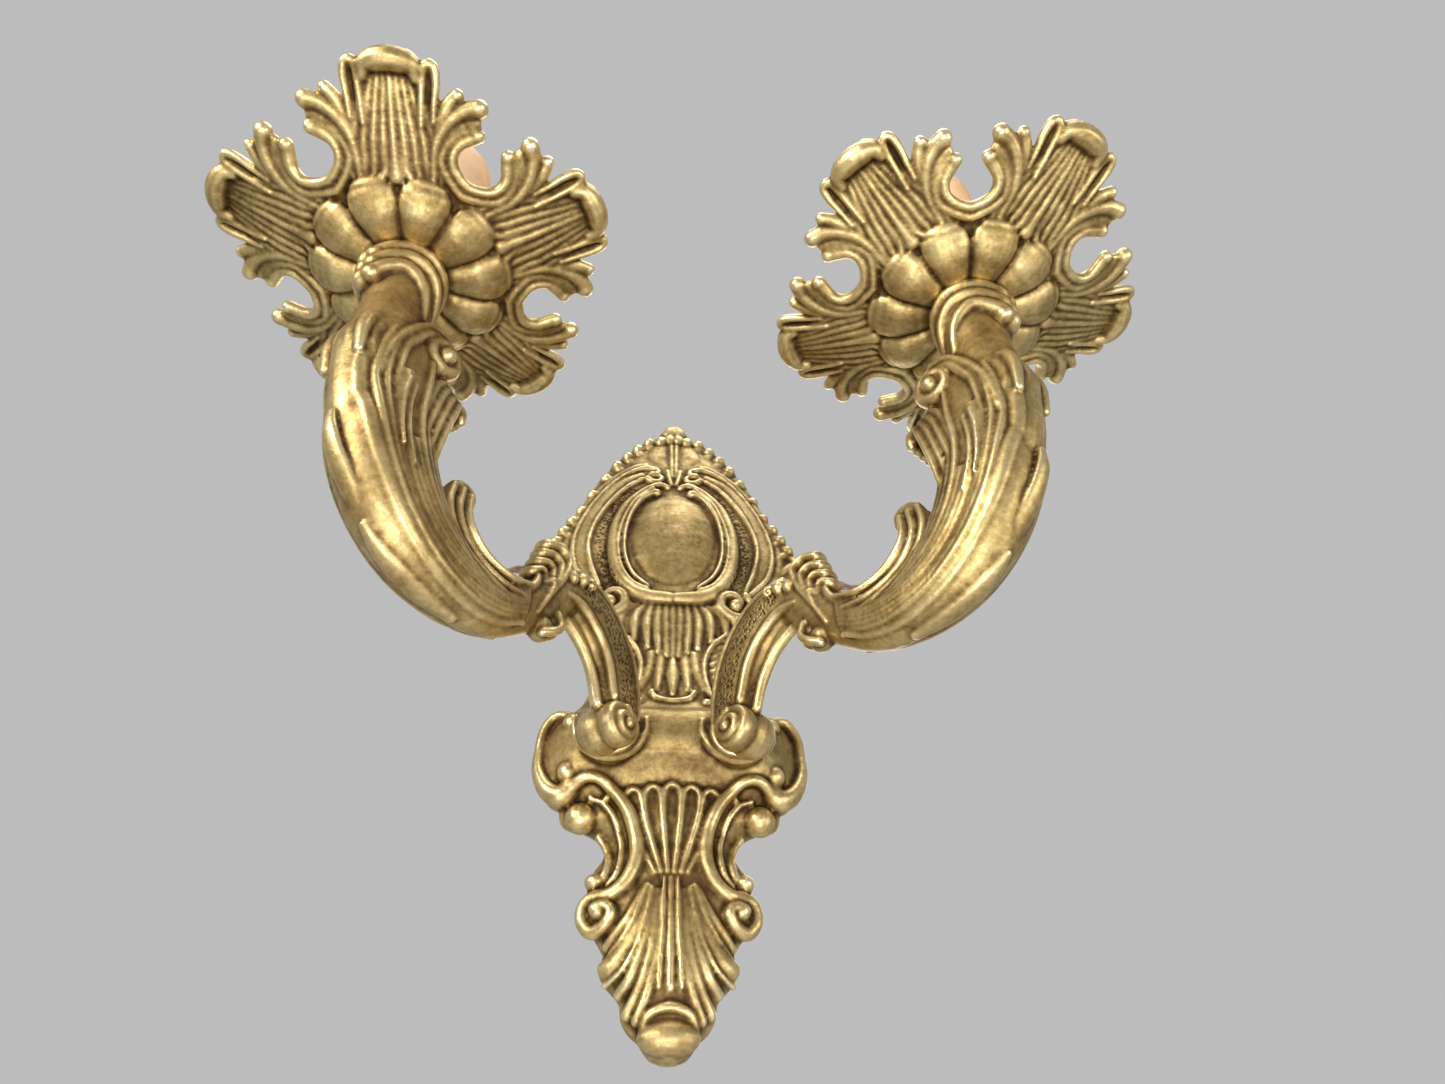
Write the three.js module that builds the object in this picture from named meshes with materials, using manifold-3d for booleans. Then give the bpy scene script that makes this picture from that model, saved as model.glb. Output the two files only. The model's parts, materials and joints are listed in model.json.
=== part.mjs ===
// Two-arm cast brass wall sconce with leaf-shaped drip pans and candle lampholders.
// Millimetres, +Z up, +X to the viewer's right, -Y out from the wall.
// The wall is the plane Y = 0 and the origin is the middle of the hanger bracket's back face.

import * as THREE from 'three';
import { mergeVertices } from 'three/addons/utils/BufferGeometryUtils.js';
import Module from 'manifold-3d';

const wasm = await Module();
wasm.setup();

// ---------------------------------------------------------------- driving dimensions
const GAP = 0.3; // clearance between pieces that touch

// Back plate: [half width, height] of its outline from crest to tip.
const PLATE_OUTLINE = [
  [1.5, 66], [6.5, 62.5], [7.5, 59], [14.5, 56], [19.5, 50.5], [24.5, 45], [29, 38], [34, 29],
  [38, 19], [41.5, 8], [43, 1.5], [47, -1], [49.5, -8], [52.5, -14], [54.5, -19], [53, -25],
  [48, -31], [41, -39], [35, -48], [31, -60], [29, -72], [29.5, -84], [32, -91], [39, -96],
  [44, -101], [46, -108], [46, -117], [44, -123.5], [39.5, -129], [35, -131.5], [32, -136.5],
  [26, -139], [21.5, -142], [21, -148], [23.5, -151.5], [26, -155.5], [25, -158], [28, -163],
  [27, -168.5], [22.5, -172.5], [19.5, -177.5], [21.5, -182.5], [19.5, -186], [14.5, -190.5],
  [14, -195.5], [12, -199], [8.5, -201.5], [7.5, -203.5], [5, -206], [1.5, -207.5],
];
// [height, depth in front of the wall] of the plate's surface along its middle.
const PLATE_CROWN = [
  [66, 6.5], [50, 9], [25, 11], [-40, 12], [-75, 12.5], [-94, 16], [-99, 19], [-100.5, 25],
  [-110, 26.5], [-119, 26], [-124.5, 23], [-127, 16], [-150, 14], [-182, 14], [-200, 11], [-207.5, 8],
];
const PLATE_EDGE = 5; // thickness of the plate at its outline
const PLATE_WALL = 3.2; // thickness of the casting over its hollow back
// [half width, height] of the hollow in the plate's back.
const PLATE_HOLLOW = [
  [6, 52], [19, 40], [30, 20], [36, 3], [42, -10], [43, -20], [36, -34], [27, -52], [25, -80],
  [27, -93], [36, -104], [38, -114], [33, -122], [25, -131], [16, -141], [16, -150], [19, -161],
  [13, -175], [12, -184], [7, -192],
];
const MEDALLION = { z: -12, halfWidth: 18.6, halfHeight: 26.4, depth: 15.5 };

// Arms: each lies in the upright plane through its foot on the plate and its pan's axis.
const FOOT = { x: 20.5, y: -38 }; // the arm plane's line through the volute's axis
const PAN_AXIS = { x: 89.7, y: -125 };
const VOLUTE = { z: -125.3, radius: 8.8, halfLength: 9.5 };
// Stations along the arm: distance out from the volute, height, half width in the arm's plane
// and half thickness across it.
const STEM = [
  [-3, -118, 8, 5.5], [-2, -110, 9, 5.5], [0.5, -101, 10, 5.5], [6, -92, 10.5, 5.5],
  [14, -86, 10, 6], [24, -85, 9, 6], [32, -91, 7.5, 5.5],
];
const BODY = [
  [22, -83, 5, 5], [31, -91, 7.5, 6.5], [43, -104.5, 8, 6.5], [57, -115.5, 8, 7],
  [71, -116.5, 9.5, 8], [84, -110, 11.5, 9], [95.5, -98.5, 13.5, 10], [103.5, -84, 16, 10.5],
  [106.5, -67, 17.5, 11], [108, -55, 16, 10.5], [109.5, -47, 11, 9],
];
const INNER_LEAF = [
  [62, -111, 5, 5], [70, -105.5, 6, 6], [76, -98, 6, 5.5], [78, -91, 5, 4.5], [76, -86, 3, 3.5],
];
// Small curled leaf ends on each arm: distance out, height, radii in the arm's plane and across.
const LEAF_ENDS = {
  top_scroll: [94.5, -46, 7, 7],
  outer_corner: [121, -63, 5.5, 6],
  junction_leaf: [42, -86, 5, 5],
  junction_knob: [34.5, -106, 5.2, 5],
};
const NECK = [[8, -57], [7.6, -45], [8, -36], [10, -29], [12.5, -21], [11.6, -17.5], [11.6, -15.3]];

// Fixing of each arm to the plate.
const SEAT = { z: -117, radius: 10.5, front: -28.4, inner: -14.5, innerRadius: 7 };
const SCREW = { radius: 2.5, head: 4.3, headHeight: 3.2, tip: -40 };
const WASHER = { radius: 5.5, thickness: 1.2 };

// Pan: five leaf lobes round a gadrooned bowl.
const LOBES = 5;
const PAN_TURN = { left: -1, right: 26 }; // degrees each pan is turned from facing forward
const PAN_TIP_Z = 5; // height of the lobes' tips
const PAN_RADIUS = 65;
const PAN_WALL = 2.4;
// [degrees from a lobe's middle, outline radius] as far as the middle of the gap.
const LOBE_OUTLINE = [[0, 65], [7, 63], [14, 58], [21, 54.5], [27, 52.5], [30.5, 46], [33, 38], [36, 35]];
// [radius, height] of the pan's underside.
const PAN_UNDERSIDE = [[5.3, -15], [12, -15], [16, -17.4], [22, -17], [28.5, -12.2]];
const PAN_FLARE_Z = -9; // height of the underside at the gaps' inner ends
const PAN_FLARE_R = 35;
const GADROON = 1.2; // how far the bowl's ten lobes stand out

// Candle: what is stacked on each arm, from the neck up.
const NIPPLE = { radius: 5, bore: 3.4, bottom: -33, top: 2 };
const THREAD_HOLE = NIPPLE.radius + GAP;
const SLEEVE_SEAT = { bottom: -12.1, floor: 1.6, top: -4, radius: 17.8, wall: 1.3 };
const NUT = { bottom: -10.2, height: 4.5, radius: 8.1 };
const HOLDER = { bottom: -5.4, top: 46, radius: 13.7, floor: 10, cavity: 8.7 };
const SHELL = { bottom: 21, top: 44.5, outer: 8.3, inner: 7.4 };
const CONTACT = { radius: 3.2, height: 1.4 };
const SLEEVE = { bottom: -10.2, top: 55, outer: 16.1, inner: 14.6 };

// Hanger bracket across the plate's back.
const BRACKET = { length: 58, height: 16, thickness: 2, screwX: 23, keyholeX: 11.5 };
const BRACKET_SCREW = { radius: 1.5, head: 2.9, coneDepth: 1.5, tip: -7 };
const BOSS_RADIUS = 4.5;

// Wiring.
const FLEX_RADIUS = 1.9;
const FLEX_CHANNEL = 2.7;
const BLOCK = { width: 20, height: 18, back: -1.2, front: -7.6, z: -56 };
const BLOCK_SCREW = { radius: 1.6, length: 2.6 };

// ---------------------------------------------------------------- materials
const finish = (color, roughness, metalness) => ({ color, roughness, metalness });
const BRASS = finish(0x96784a, 0.42, 1);
const TURNED_BRASS = finish(0xb59350, 0.35, 1);
const STEEL = finish(0x8b8d90, 0.4, 1);
const CARD = finish(0xe0b681, 0.7, 0);
const BAKELITE = finish(0x2a211c, 0.5, 0);
const CERAMIC = finish(0xe9e4d8, 0.4, 0);
const FLEX = finish(0x7c4a38, 0.6, 0);

// ---------------------------------------------------------------- helpers
const root = new THREE.Group();
root.name = 'wall_sconce';

function toSolid(geometry) {
  const bare = geometry.index ? geometry.clone() : geometry;
  bare.deleteAttribute('normal');
  bare.deleteAttribute('uv');
  const merged = mergeVertices(bare, 1e-4);
  return new wasm.Manifold(new wasm.Mesh({
    numProp: 3,
    vertProperties: new Float32Array(merged.attributes.position.array),
    triVerts: new Uint32Array(merged.index.array),
  }));
}

function toGeometry(solid) {
  const mesh = solid.getMesh();
  const geometry = new THREE.BufferGeometry();
  geometry.setAttribute('position', new THREE.BufferAttribute(mesh.vertProperties, 3));
  geometry.setIndex(new THREE.BufferAttribute(mesh.triVerts, 1));
  geometry.computeVertexNormals();
  return geometry;
}

function join(first, ...others) {
  return others.reduce((solid, geometry) => solid.add(toSolid(geometry)), toSolid(first));
}

function cut(solid, ...tools) {
  return tools.reduce((left, geometry) => left.subtract(toSolid(geometry)), solid);
}

// A round rod from one point to another.
function rod(radius, from, to, sides = 16, endRadius = radius) {
  const start = new THREE.Vector3(...from);
  const end = new THREE.Vector3(...to);
  const axis = end.clone().sub(start);
  const geometry = new THREE.CylinderGeometry(endRadius, radius, axis.length(), sides);
  const turn = new THREE.Quaternion().setFromUnitVectors(new THREE.Vector3(0, 1, 0), axis.clone().normalize());
  geometry.applyQuaternion(turn);
  geometry.translate(...start.add(end).multiplyScalar(0.5).toArray());
  return geometry;
}

// A solid of revolution about Z from [radius, height] points that close on themselves or the axis.
function turned(profile, sides = 24) {
  const geometry = new THREE.LatheGeometry(profile.map(([r, z]) => new THREE.Vector2(r, z)), sides);
  geometry.rotateX(Math.PI / 2);
  return geometry;
}

// A ring-shaped solid of revolution: its section closes on itself.
const ring = (section, sides) => turned([...section, section[0]], sides);

// A closed skin over rings of points that all have the same count.
function loft(rings) {
  const count = rings[0].length;
  const points = rings.flat();
  const faces = [];
  for (let i = 0; i + 1 < rings.length; i += 1) {
    for (let j = 0; j < count; j += 1) {
      const a = i * count + j;
      const b = i * count + ((j + 1) % count);
      faces.push(a, b, b + count, a, b + count, a + count);
    }
  }
  for (const [start, flip] of [[0, true], [(rings.length - 1) * count, false]]) {
    const middle = points.length;
    const ends = points.slice(start, start + count);
    points.push(ends.reduce((sum, p) => sum.add(p), new THREE.Vector3()).divideScalar(count));
    for (let j = 0; j < count; j += 1) {
      const a = start + j;
      const b = start + ((j + 1) % count);
      faces.push(...(flip ? [b, a, middle] : [a, b, middle]));
    }
  }
  const geometry = new THREE.BufferGeometry().setFromPoints(points);
  geometry.setIndex(faces);
  return geometry;
}

function alongList(list, at) {
  const last = list.length - 1;
  const rising = list[last][0] > list[0][0];
  let i = 0;
  while (i < last - 1 && (rising ? at > list[i + 1][0] : at < list[i + 1][0])) i += 1;
  const share = THREE.MathUtils.clamp((at - list[i][0]) / (list[i + 1][0] - list[i][0]), 0, 1);
  return THREE.MathUtils.lerp(list[i][1], list[i + 1][1], share);
}

function addPiece(name, geometry, look, parent = root) {
  const material = new THREE.MeshStandardMaterial(look);
  const mesh = new THREE.Mesh(geometry, material);
  mesh.name = name;
  parent.add(mesh);
  return mesh;
}

// A point of an arm: side is -1 for left and 1 for right, out is the distance from the volute
// along the arm's plane, across is the distance from that plane, towards the front.
const ARM_RUN = new THREE.Vector2(PAN_AXIS.x - FOOT.x, PAN_AXIS.y - FOOT.y).normalize();
function armPoint(side, out, across, z) {
  const x = FOOT.x + ARM_RUN.x * out + ARM_RUN.y * across;
  const y = FOOT.y + ARM_RUN.y * out - ARM_RUN.x * across;
  return new THREE.Vector3(side * x, y, z);
}

// ---------------------------------------------------------------- back plate
const crownAt = (z) => alongList(PLATE_CROWN, z);

// One level of the plate: a dome over a flat back, from one edge to the other.
function plateRing(halfWidth, z, edge, crown, back) {
  const steps = 8;
  const points = [new THREE.Vector3(-halfWidth, back, z)];
  for (let i = 0; i <= steps; i += 1) {
    const t = (2 * i) / steps - 1;
    const depth = edge + (crown - edge) * (1 - Math.abs(t) ** 2.5);
    points.push(new THREE.Vector3(halfWidth * t, -depth, z));
  }
  points.push(new THREE.Vector3(halfWidth, back, z));
  return points;
}

function hollowDepth(z) {
  const thinnest = Math.min(crownAt(z - 4), crownAt(z), crownAt(z + 4));
  return thinnest - PLATE_WALL;
}

// The flex's route from the lampholder's foot down through the arm and into the plate.
function flexRoute(side) {
  const panFoot = ARM_RUN.x * (PAN_AXIS.x - FOOT.x) + ARM_RUN.y * (PAN_AXIS.y - FOOT.y);
  return new THREE.CatmullRomCurve3([
    armPoint(side, panFoot, 0, 1),
    armPoint(side, panFoot, 0, -16),
    armPoint(side, panFoot, 0, -34),
    armPoint(side, 108, -3, -46),
    armPoint(side, 99, -9, -56),
    armPoint(side, 87, -10.5, -67),
    armPoint(side, 75, -10, -80),
    armPoint(side, 62, -9.5, -90),
    armPoint(side, 52, -10, -94),
    new THREE.Vector3(side * 60.5, -64, -85),
    new THREE.Vector3(side * 58.5, -44, -65),
    new THREE.Vector3(side * 57, -24, -45),
    new THREE.Vector3(side * 54.5, -8, -31),
    new THREE.Vector3(side * 48, -2.7, -27.5),
    new THREE.Vector3(side * 38, -2.6, -32),
    new THREE.Vector3(side * 25, -3.4, -45),
    new THREE.Vector3(side * 17, -4.2, -54),
    new THREE.Vector3(side * (BLOCK.width / 2 + 3 * GAP), -4.4, BLOCK.z),
  ], false, 'centripetal');
}

function tube(curve, radius, steps, sides = 8) {
  const section = new THREE.Shape();
  section.absarc(0, 0, radius, 0, 2 * Math.PI);
  return new THREE.ExtrudeGeometry(section, {
    steps, curveSegments: sides / 2, bevelEnabled: false, extrudePath: curve,
  });
}

// The part of a route between two shares of its length.
function stretch(curve, from, to, count) {
  const points = [];
  for (let i = 0; i <= count; i += 1) points.push(curve.getPointAt(from + ((to - from) * i) / count));
  return new THREE.CatmullRomCurve3(points);
}

const FLEX_STEPS = 40;
const ARM_SHARE = 0.42; // share of the flex's length that runs inside or along the arm
const PLATE_SHARE = 0.72; // share of its length at which it reaches the plate

function makePlate() {
  const shell = loft(PLATE_OUTLINE.map(([w, z]) => plateRing(w, z, PLATE_EDGE, crownAt(z), 0)).reverse());
  const hollow = loft(PLATE_HOLLOW.map(([w, z]) => plateRing(w, z, 0.2, hollowDepth(z), 1)).reverse());
  const dome = new THREE.SphereGeometry(1, 20, 10);
  dome.scale(MEDALLION.halfWidth, MEDALLION.depth - crownAt(MEDALLION.z) + 2, MEDALLION.halfHeight);
  dome.translate(0, 2 - crownAt(MEDALLION.z), MEDALLION.z);
  const frame = new THREE.TorusGeometry(1, 0.08, 5, 20);
  frame.rotateX(Math.PI / 2);
  frame.scale(MEDALLION.halfWidth + 3, 20, MEDALLION.halfHeight + 4);
  frame.translate(0, -crownAt(MEDALLION.z) + 1, MEDALLION.z);

  let plate = cut(join(shell, dome, frame), hollow);
  for (const side of [-1, 1]) {
    const x = side * FOOT.x;
    const bossX = side * BRACKET.screwX;
    const bossTop = -BRACKET.thickness - GAP;
    const seat = rod(SEAT.radius, [x, -18.5, SEAT.z], [x, SEAT.front, SEAT.z]);
    const innerSeat = rod(SEAT.innerRadius + 1.5, [x, SEAT.inner, SEAT.z], [x, -21, SEAT.z], 16);
    const boss = rod(BOSS_RADIUS, [bossX, bossTop, 0], [bossX, -8, 0], 16);
    plate = plate.add(toSolid(seat)).add(toSolid(innerSeat)).add(toSolid(boss));
    plate = cut(
      plate,
      rod(SEAT.innerRadius, [x, 1, SEAT.z], [x, SEAT.inner, SEAT.z], 16),
      rod(SCREW.radius + GAP, [x, 0, SEAT.z], [x, -40, SEAT.z], 12),
      rod(BRACKET_SCREW.radius + GAP, [bossX, 0, 0], [bossX, BRACKET_SCREW.tip - GAP, 0], 16),
      tube(stretch(flexRoute(side), PLATE_SHARE, 0.99, 16), FLEX_CHANNEL, 16),
    );
  }
  return toGeometry(plate);
}
addPiece('back_plate', makePlate(), BRASS);

// ---------------------------------------------------------------- hanger bracket
function makeBracket() {
  const middle = -BRACKET.thickness / 2;
  const strip = new THREE.BoxGeometry(BRACKET.length, BRACKET.thickness, BRACKET.height);
  strip.translate(0, middle, 0);
  const tools = [];
  for (const side of [-1, 1]) {
    const screwX = side * BRACKET.screwX;
    const keyX = side * BRACKET.keyholeX;
    tools.push(rod(BRACKET_SCREW.radius + GAP, [screwX, 1, 0], [screwX, -3, 0], 16));
    tools.push(rod(
      BRACKET_SCREW.head + GAP + 1, [screwX, 1, 0], [screwX, -BRACKET_SCREW.coneDepth - GAP, 0], 16,
      BRACKET_SCREW.radius + GAP,
    ));
    tools.push(rod(4, [keyX, 1, -3], [keyX, -3, -3]));
    tools.push(rod(2.2, [keyX, 1, 4.5], [keyX, -3, 4.5], 16));
    const slot = new THREE.BoxGeometry(4.4, 4, 7.5);
    slot.translate(keyX, -1, 0.75);
    tools.push(slot);
  }
  return toGeometry(cut(toSolid(strip), ...tools));
}
addPiece('hanger_bracket', makeBracket(), STEEL);

function makeBracketScrew() {
  const { radius, head, coneDepth, tip } = BRACKET_SCREW;
  const screw = turned([[0, 0], [head, 0], [radius, coneDepth], [radius, -tip - 0.8], [0.6, -tip], [0, -tip]], 16);
  screw.rotateX(Math.PI / 2);
  const slot = new THREE.BoxGeometry(0.8, 1.2, 2 * head + 1);
  return toGeometry(cut(toSolid(screw), slot));
}

// ---------------------------------------------------------------- arms
function armSweep(side, stations, sides) {
  const rings = stations.map(([out, z, halfWidth, halfThick], i) => {
    const before = stations[Math.max(i - 1, 0)];
    const after = stations[Math.min(i + 1, stations.length - 1)];
    const run = new THREE.Vector2(after[0] - before[0], after[1] - before[1]).normalize();
    const points = [];
    for (let j = 0; j < sides; j += 1) {
      const angle = (side * 2 * Math.PI * j) / sides;
      const wide = halfWidth * Math.cos(angle);
      points.push(armPoint(side, out - run.y * wide, halfThick * Math.sin(angle), z + run.x * wide));
    }
    return points;
  });
  return loft(rings);
}

function leafEnd(side, [out, z, inPlane, across]) {
  const ball = new THREE.SphereGeometry(1, 12, 8);
  ball.scale(inPlane, across, inPlane);
  ball.rotateZ(side * Math.atan2(ARM_RUN.y, ARM_RUN.x));
  ball.translate(...armPoint(side, out, 0, z).toArray());
  return ball;
}

function makeArm(side) {
  const rollEnds = [-1, 1].map((end) => armPoint(side, 0, end * VOLUTE.halfLength, VOLUTE.z).toArray());
  const footX = side * FOOT.x;
  const neck = turned([[0, NECK[0][1]], ...NECK, [0, NECK[NECK.length - 1][1]]], 20);
  neck.translate(side * PAN_AXIS.x, PAN_AXIS.y, 0);
  const arm = join(
    armSweep(side, STEM, 12),
    armSweep(side, BODY, 14),
    armSweep(side, INNER_LEAF, 8),
    rod(VOLUTE.radius, ...rollEnds, 20),
    rod(8.5, [footX, SEAT.front - GAP, SEAT.z], [footX, -37, SEAT.z], 20),
    neck,
    ...Object.values(LEAF_ENDS).map((leaf) => leafEnd(side, leaf)),
  );
  const panX = side * PAN_AXIS.x;
  const flatDepth = 30;
  const footFlat = new THREE.BoxGeometry(60, flatDepth, 70);
  footFlat.translate(footX, SEAT.front - GAP + flatDepth / 2, SEAT.z);
  return toGeometry(cut(
    arm,
    footFlat,
    rod(SCREW.radius + GAP, [footX, -20, SEAT.z], [footX, SCREW.tip - GAP, SEAT.z], 20),
    rod(THREAD_HOLE, [panX, PAN_AXIS.y, NIPPLE.bottom - GAP], [panX, PAN_AXIS.y, 0]),
    tube(stretch(flexRoute(side), 0.08, ARM_SHARE, 20), FLEX_CHANNEL, 20),
  ));
}

// ---------------------------------------------------------------- drip pans
function panUnderside(radius, outline) {
  if (radius <= PAN_UNDERSIDE[PAN_UNDERSIDE.length - 1][0]) return alongList(PAN_UNDERSIDE, radius);
  const share = (radius - PAN_FLARE_R) / (PAN_RADIUS - PAN_FLARE_R);
  const flare = THREE.MathUtils.lerp(PAN_FLARE_Z, PAN_TIP_Z - PAN_WALL, Math.max(share, -0.25));
  return flare - 1.5 * Math.max(0, 1 - (outline - radius) / 6) * Math.max(share, 0);
}

function makePan() {
  const halfLobe = 180 / LOBES;
  const directions = [];
  for (let lobe = 0; lobe < LOBES; lobe += 1) {
    const middle = lobe * 2 * halfLobe;
    for (const [turn, radius] of [...LOBE_OUTLINE].reverse()) directions.push([middle - turn, radius, turn]);
    for (const [turn, radius] of LOBE_OUTLINE.slice(1, -1)) directions.push([middle + turn, radius, turn]);
  }
  const rings = directions.map(([degrees, outline, turn]) => {
    const angle = THREE.MathUtils.degToRad(degrees);
    const bulge = GADROON * Math.sin((Math.PI * turn) / halfLobe) ** 0.7;
    const radii = PAN_UNDERSIDE.map(([r]) => r);
    for (const share of [0.25, 0.6, 1]) radii.push(28.5 + (outline - 28.5) * share);
    const level = radii.map((r) => {
      const swell = r > 12 && r < 28 ? bulge : 0;
      return [r, panUnderside(r, outline) - swell];
    });
    const upper = level.map(([r, z]) => [r, z + PAN_WALL]).reverse();
    return [...level, ...upper].map(([r, z]) => new THREE.Vector3(r * Math.sin(angle), -r * Math.cos(angle), z));
  });
  return rings;
}

// A skin over rings that run all the way round and meet again.
function wheel(rings) {
  const count = rings[0].length;
  const geometry = new THREE.BufferGeometry().setFromPoints(rings.flat());
  const faces = [];
  for (let i = 0; i < rings.length; i += 1) {
    const next = (i + 1) % rings.length;
    for (let j = 0; j < count; j += 1) {
      const k = (j + 1) % count;
      faces.push(i * count + j, next * count + k, i * count + k);
      faces.push(i * count + j, next * count + j, next * count + k);
    }
  }
  geometry.setIndex(faces);
  return geometry;
}

// ---------------------------------------------------------------- candle pieces
function makeNut() {
  const blank = new THREE.CylinderGeometry(NUT.radius, NUT.radius, NUT.height, 6);
  blank.rotateX(Math.PI / 2);
  blank.translate(0, 0, NUT.bottom + NUT.height / 2);
  return toGeometry(cut(toSolid(blank), rod(THREAD_HOLE, [0, 0, -20], [0, 0, 0])));
}

const tubeSection = (outer, inner, bottom, top) => [[inner, bottom], [outer, bottom], [outer, top], [inner, top]];

const SEAT_SECTION = [
  [THREAD_HOLE, SLEEVE_SEAT.bottom],
  [SLEEVE_SEAT.radius - 2, SLEEVE_SEAT.bottom],
  [SLEEVE_SEAT.radius, SLEEVE_SEAT.bottom + 2],
  [SLEEVE_SEAT.radius, SLEEVE_SEAT.top],
  [SLEEVE_SEAT.radius - SLEEVE_SEAT.wall, SLEEVE_SEAT.top],
  [SLEEVE_SEAT.radius - SLEEVE_SEAT.wall, SLEEVE_SEAT.bottom + SLEEVE_SEAT.floor],
  [THREAD_HOLE, SLEEVE_SEAT.bottom + SLEEVE_SEAT.floor],
];

// The lampholder body is open below for the nipple and above for the lamp.
const HOLDER_SECTION = [
  [0, HOLDER.floor - 3], [THREAD_HOLE, HOLDER.floor - 3], [THREAD_HOLE, HOLDER.bottom],
  [HOLDER.radius - 2, HOLDER.bottom], [HOLDER.radius, HOLDER.bottom + 3], [HOLDER.radius, HOLDER.top - 1],
  [HOLDER.radius - 1, HOLDER.top], [HOLDER.cavity, HOLDER.top], [HOLDER.cavity, HOLDER.floor], [0, HOLDER.floor],
];

const contactBottom = HOLDER.floor + GAP;
const CONTACT_SECTION = [
  [0, contactBottom], [CONTACT.radius, contactBottom], [CONTACT.radius, contactBottom + CONTACT.height / 2],
  [CONTACT.radius - 1, contactBottom + CONTACT.height], [0, contactBottom + CONTACT.height],
];

// ---------------------------------------------------------------- assembly of the two sides
function makeArmScrew() {
  const underHead = SEAT.inner + GAP + WASHER.thickness + GAP;
  const shank = rod(SCREW.radius, [0, underHead + 1, 0], [0, SCREW.tip, 0], 20);
  const head = rod(SCREW.head, [0, underHead, 0], [0, underHead + SCREW.headHeight, 0], 20, SCREW.head - 0.8);
  const slot = new THREE.BoxGeometry(2 * SCREW.head + 2, 2.4, 1);
  slot.translate(0, underHead + SCREW.headHeight, 0);
  return toGeometry(cut(join(head, shank), slot));
}

function makeWasher() {
  const back = SEAT.inner + GAP;
  const section = tubeSection(WASHER.radius, SCREW.radius + GAP, -back - WASHER.thickness, -back);
  const washer = ring(section, 24);
  washer.rotateX(Math.PI / 2);
  return washer;
}

for (const [label, side] of [['left', -1], ['right', 1]]) {
  addPiece(`arm_${label}`, makeArm(side), BRASS);

  const fixing = new THREE.Group();
  fixing.position.set(side * FOOT.x, 0, SEAT.z);
  addPiece(`arm_washer_${label}`, makeWasher(), STEEL, fixing);
  addPiece(`arm_screw_${label}`, makeArmScrew(), STEEL, fixing);

  const candle = new THREE.Group();
  candle.position.set(side * PAN_AXIS.x, PAN_AXIS.y, 0);
  const pan = addPiece(`pan_${label}`, wheel(makePan()), BRASS, candle);
  pan.rotation.z = THREE.MathUtils.degToRad(PAN_TURN[label]);
  addPiece(`nipple_${label}`, ring(tubeSection(NIPPLE.radius, NIPPLE.bore, NIPPLE.bottom, NIPPLE.top), 16),
    TURNED_BRASS, candle);
  addPiece(`sleeve_seat_${label}`, ring(SEAT_SECTION, 24), TURNED_BRASS, candle);
  addPiece(`lock_nut_${label}`, makeNut(), TURNED_BRASS, candle);
  addPiece(`lampholder_${label}`, turned(HOLDER_SECTION, 20), BAKELITE, candle);
  addPiece(`screw_shell_${label}`, ring(tubeSection(SHELL.outer, SHELL.inner, SHELL.bottom, SHELL.top), 16),
    TURNED_BRASS, candle);
  addPiece(`lamp_contact_${label}`, turned(CONTACT_SECTION, 12), TURNED_BRASS, candle);
  addPiece(`candle_sleeve_${label}`, ring(tubeSection(SLEEVE.outer, SLEEVE.inner, SLEEVE.bottom, SLEEVE.top), 24),
    CARD, candle);

  const bracketScrew = addPiece(`bracket_screw_${label}`, makeBracketScrew(), STEEL);
  bracketScrew.position.set(side * BRACKET.screwX, -0.1, 0);

  addPiece(`flex_${label}`, tube(flexRoute(side), FLEX_RADIUS, FLEX_STEPS), FLEX);
  root.add(fixing, candle);
}

// ---------------------------------------------------------------- terminal block
const blockMiddle = (BLOCK.back + BLOCK.front) / 2;
const TERMINALS = [[-5, 4.5], [5, 4.5], [-5, -4.5], [5, -4.5]];

function makeBlock() {
  const block = new THREE.BoxGeometry(BLOCK.width, BLOCK.back - BLOCK.front, BLOCK.height);
  block.translate(0, blockMiddle, BLOCK.z);
  const waist = new THREE.BoxGeometry(2, 10, 12);
  waist.translate(0, blockMiddle, BLOCK.z - BLOCK.height / 2);
  const wells = TERMINALS.map(([x, z]) => rod(
    BLOCK_SCREW.radius + GAP, [x, 0, BLOCK.z + z], [x, BLOCK.back - BLOCK_SCREW.length - GAP, BLOCK.z + z], 16,
  ));
  return toGeometry(cut(toSolid(block), waist, ...wells));
}
addPiece('terminal_block', makeBlock(), CERAMIC);

TERMINALS.forEach(([x, z], i) => {
  const top = BLOCK.back - 0.3;
  const screw = rod(BLOCK_SCREW.radius, [x, BLOCK.back - BLOCK_SCREW.length, BLOCK.z + z], [x, top, BLOCK.z + z], 14);
  const slot = new THREE.BoxGeometry(5, 1, 0.6);
  slot.translate(x, top, BLOCK.z + z);
  addPiece(`terminal_screw_${i + 1}`, toGeometry(cut(toSolid(screw), slot)), STEEL);
});

export default root;
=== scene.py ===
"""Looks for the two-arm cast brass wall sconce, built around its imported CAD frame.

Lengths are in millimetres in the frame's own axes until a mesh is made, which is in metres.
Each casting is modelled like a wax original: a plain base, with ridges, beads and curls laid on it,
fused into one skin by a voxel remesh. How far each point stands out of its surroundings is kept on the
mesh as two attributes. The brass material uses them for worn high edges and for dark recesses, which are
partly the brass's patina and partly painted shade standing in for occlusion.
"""

import json
import math

import bpy
import numpy as np
from mathutils import Matrix, Vector


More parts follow.
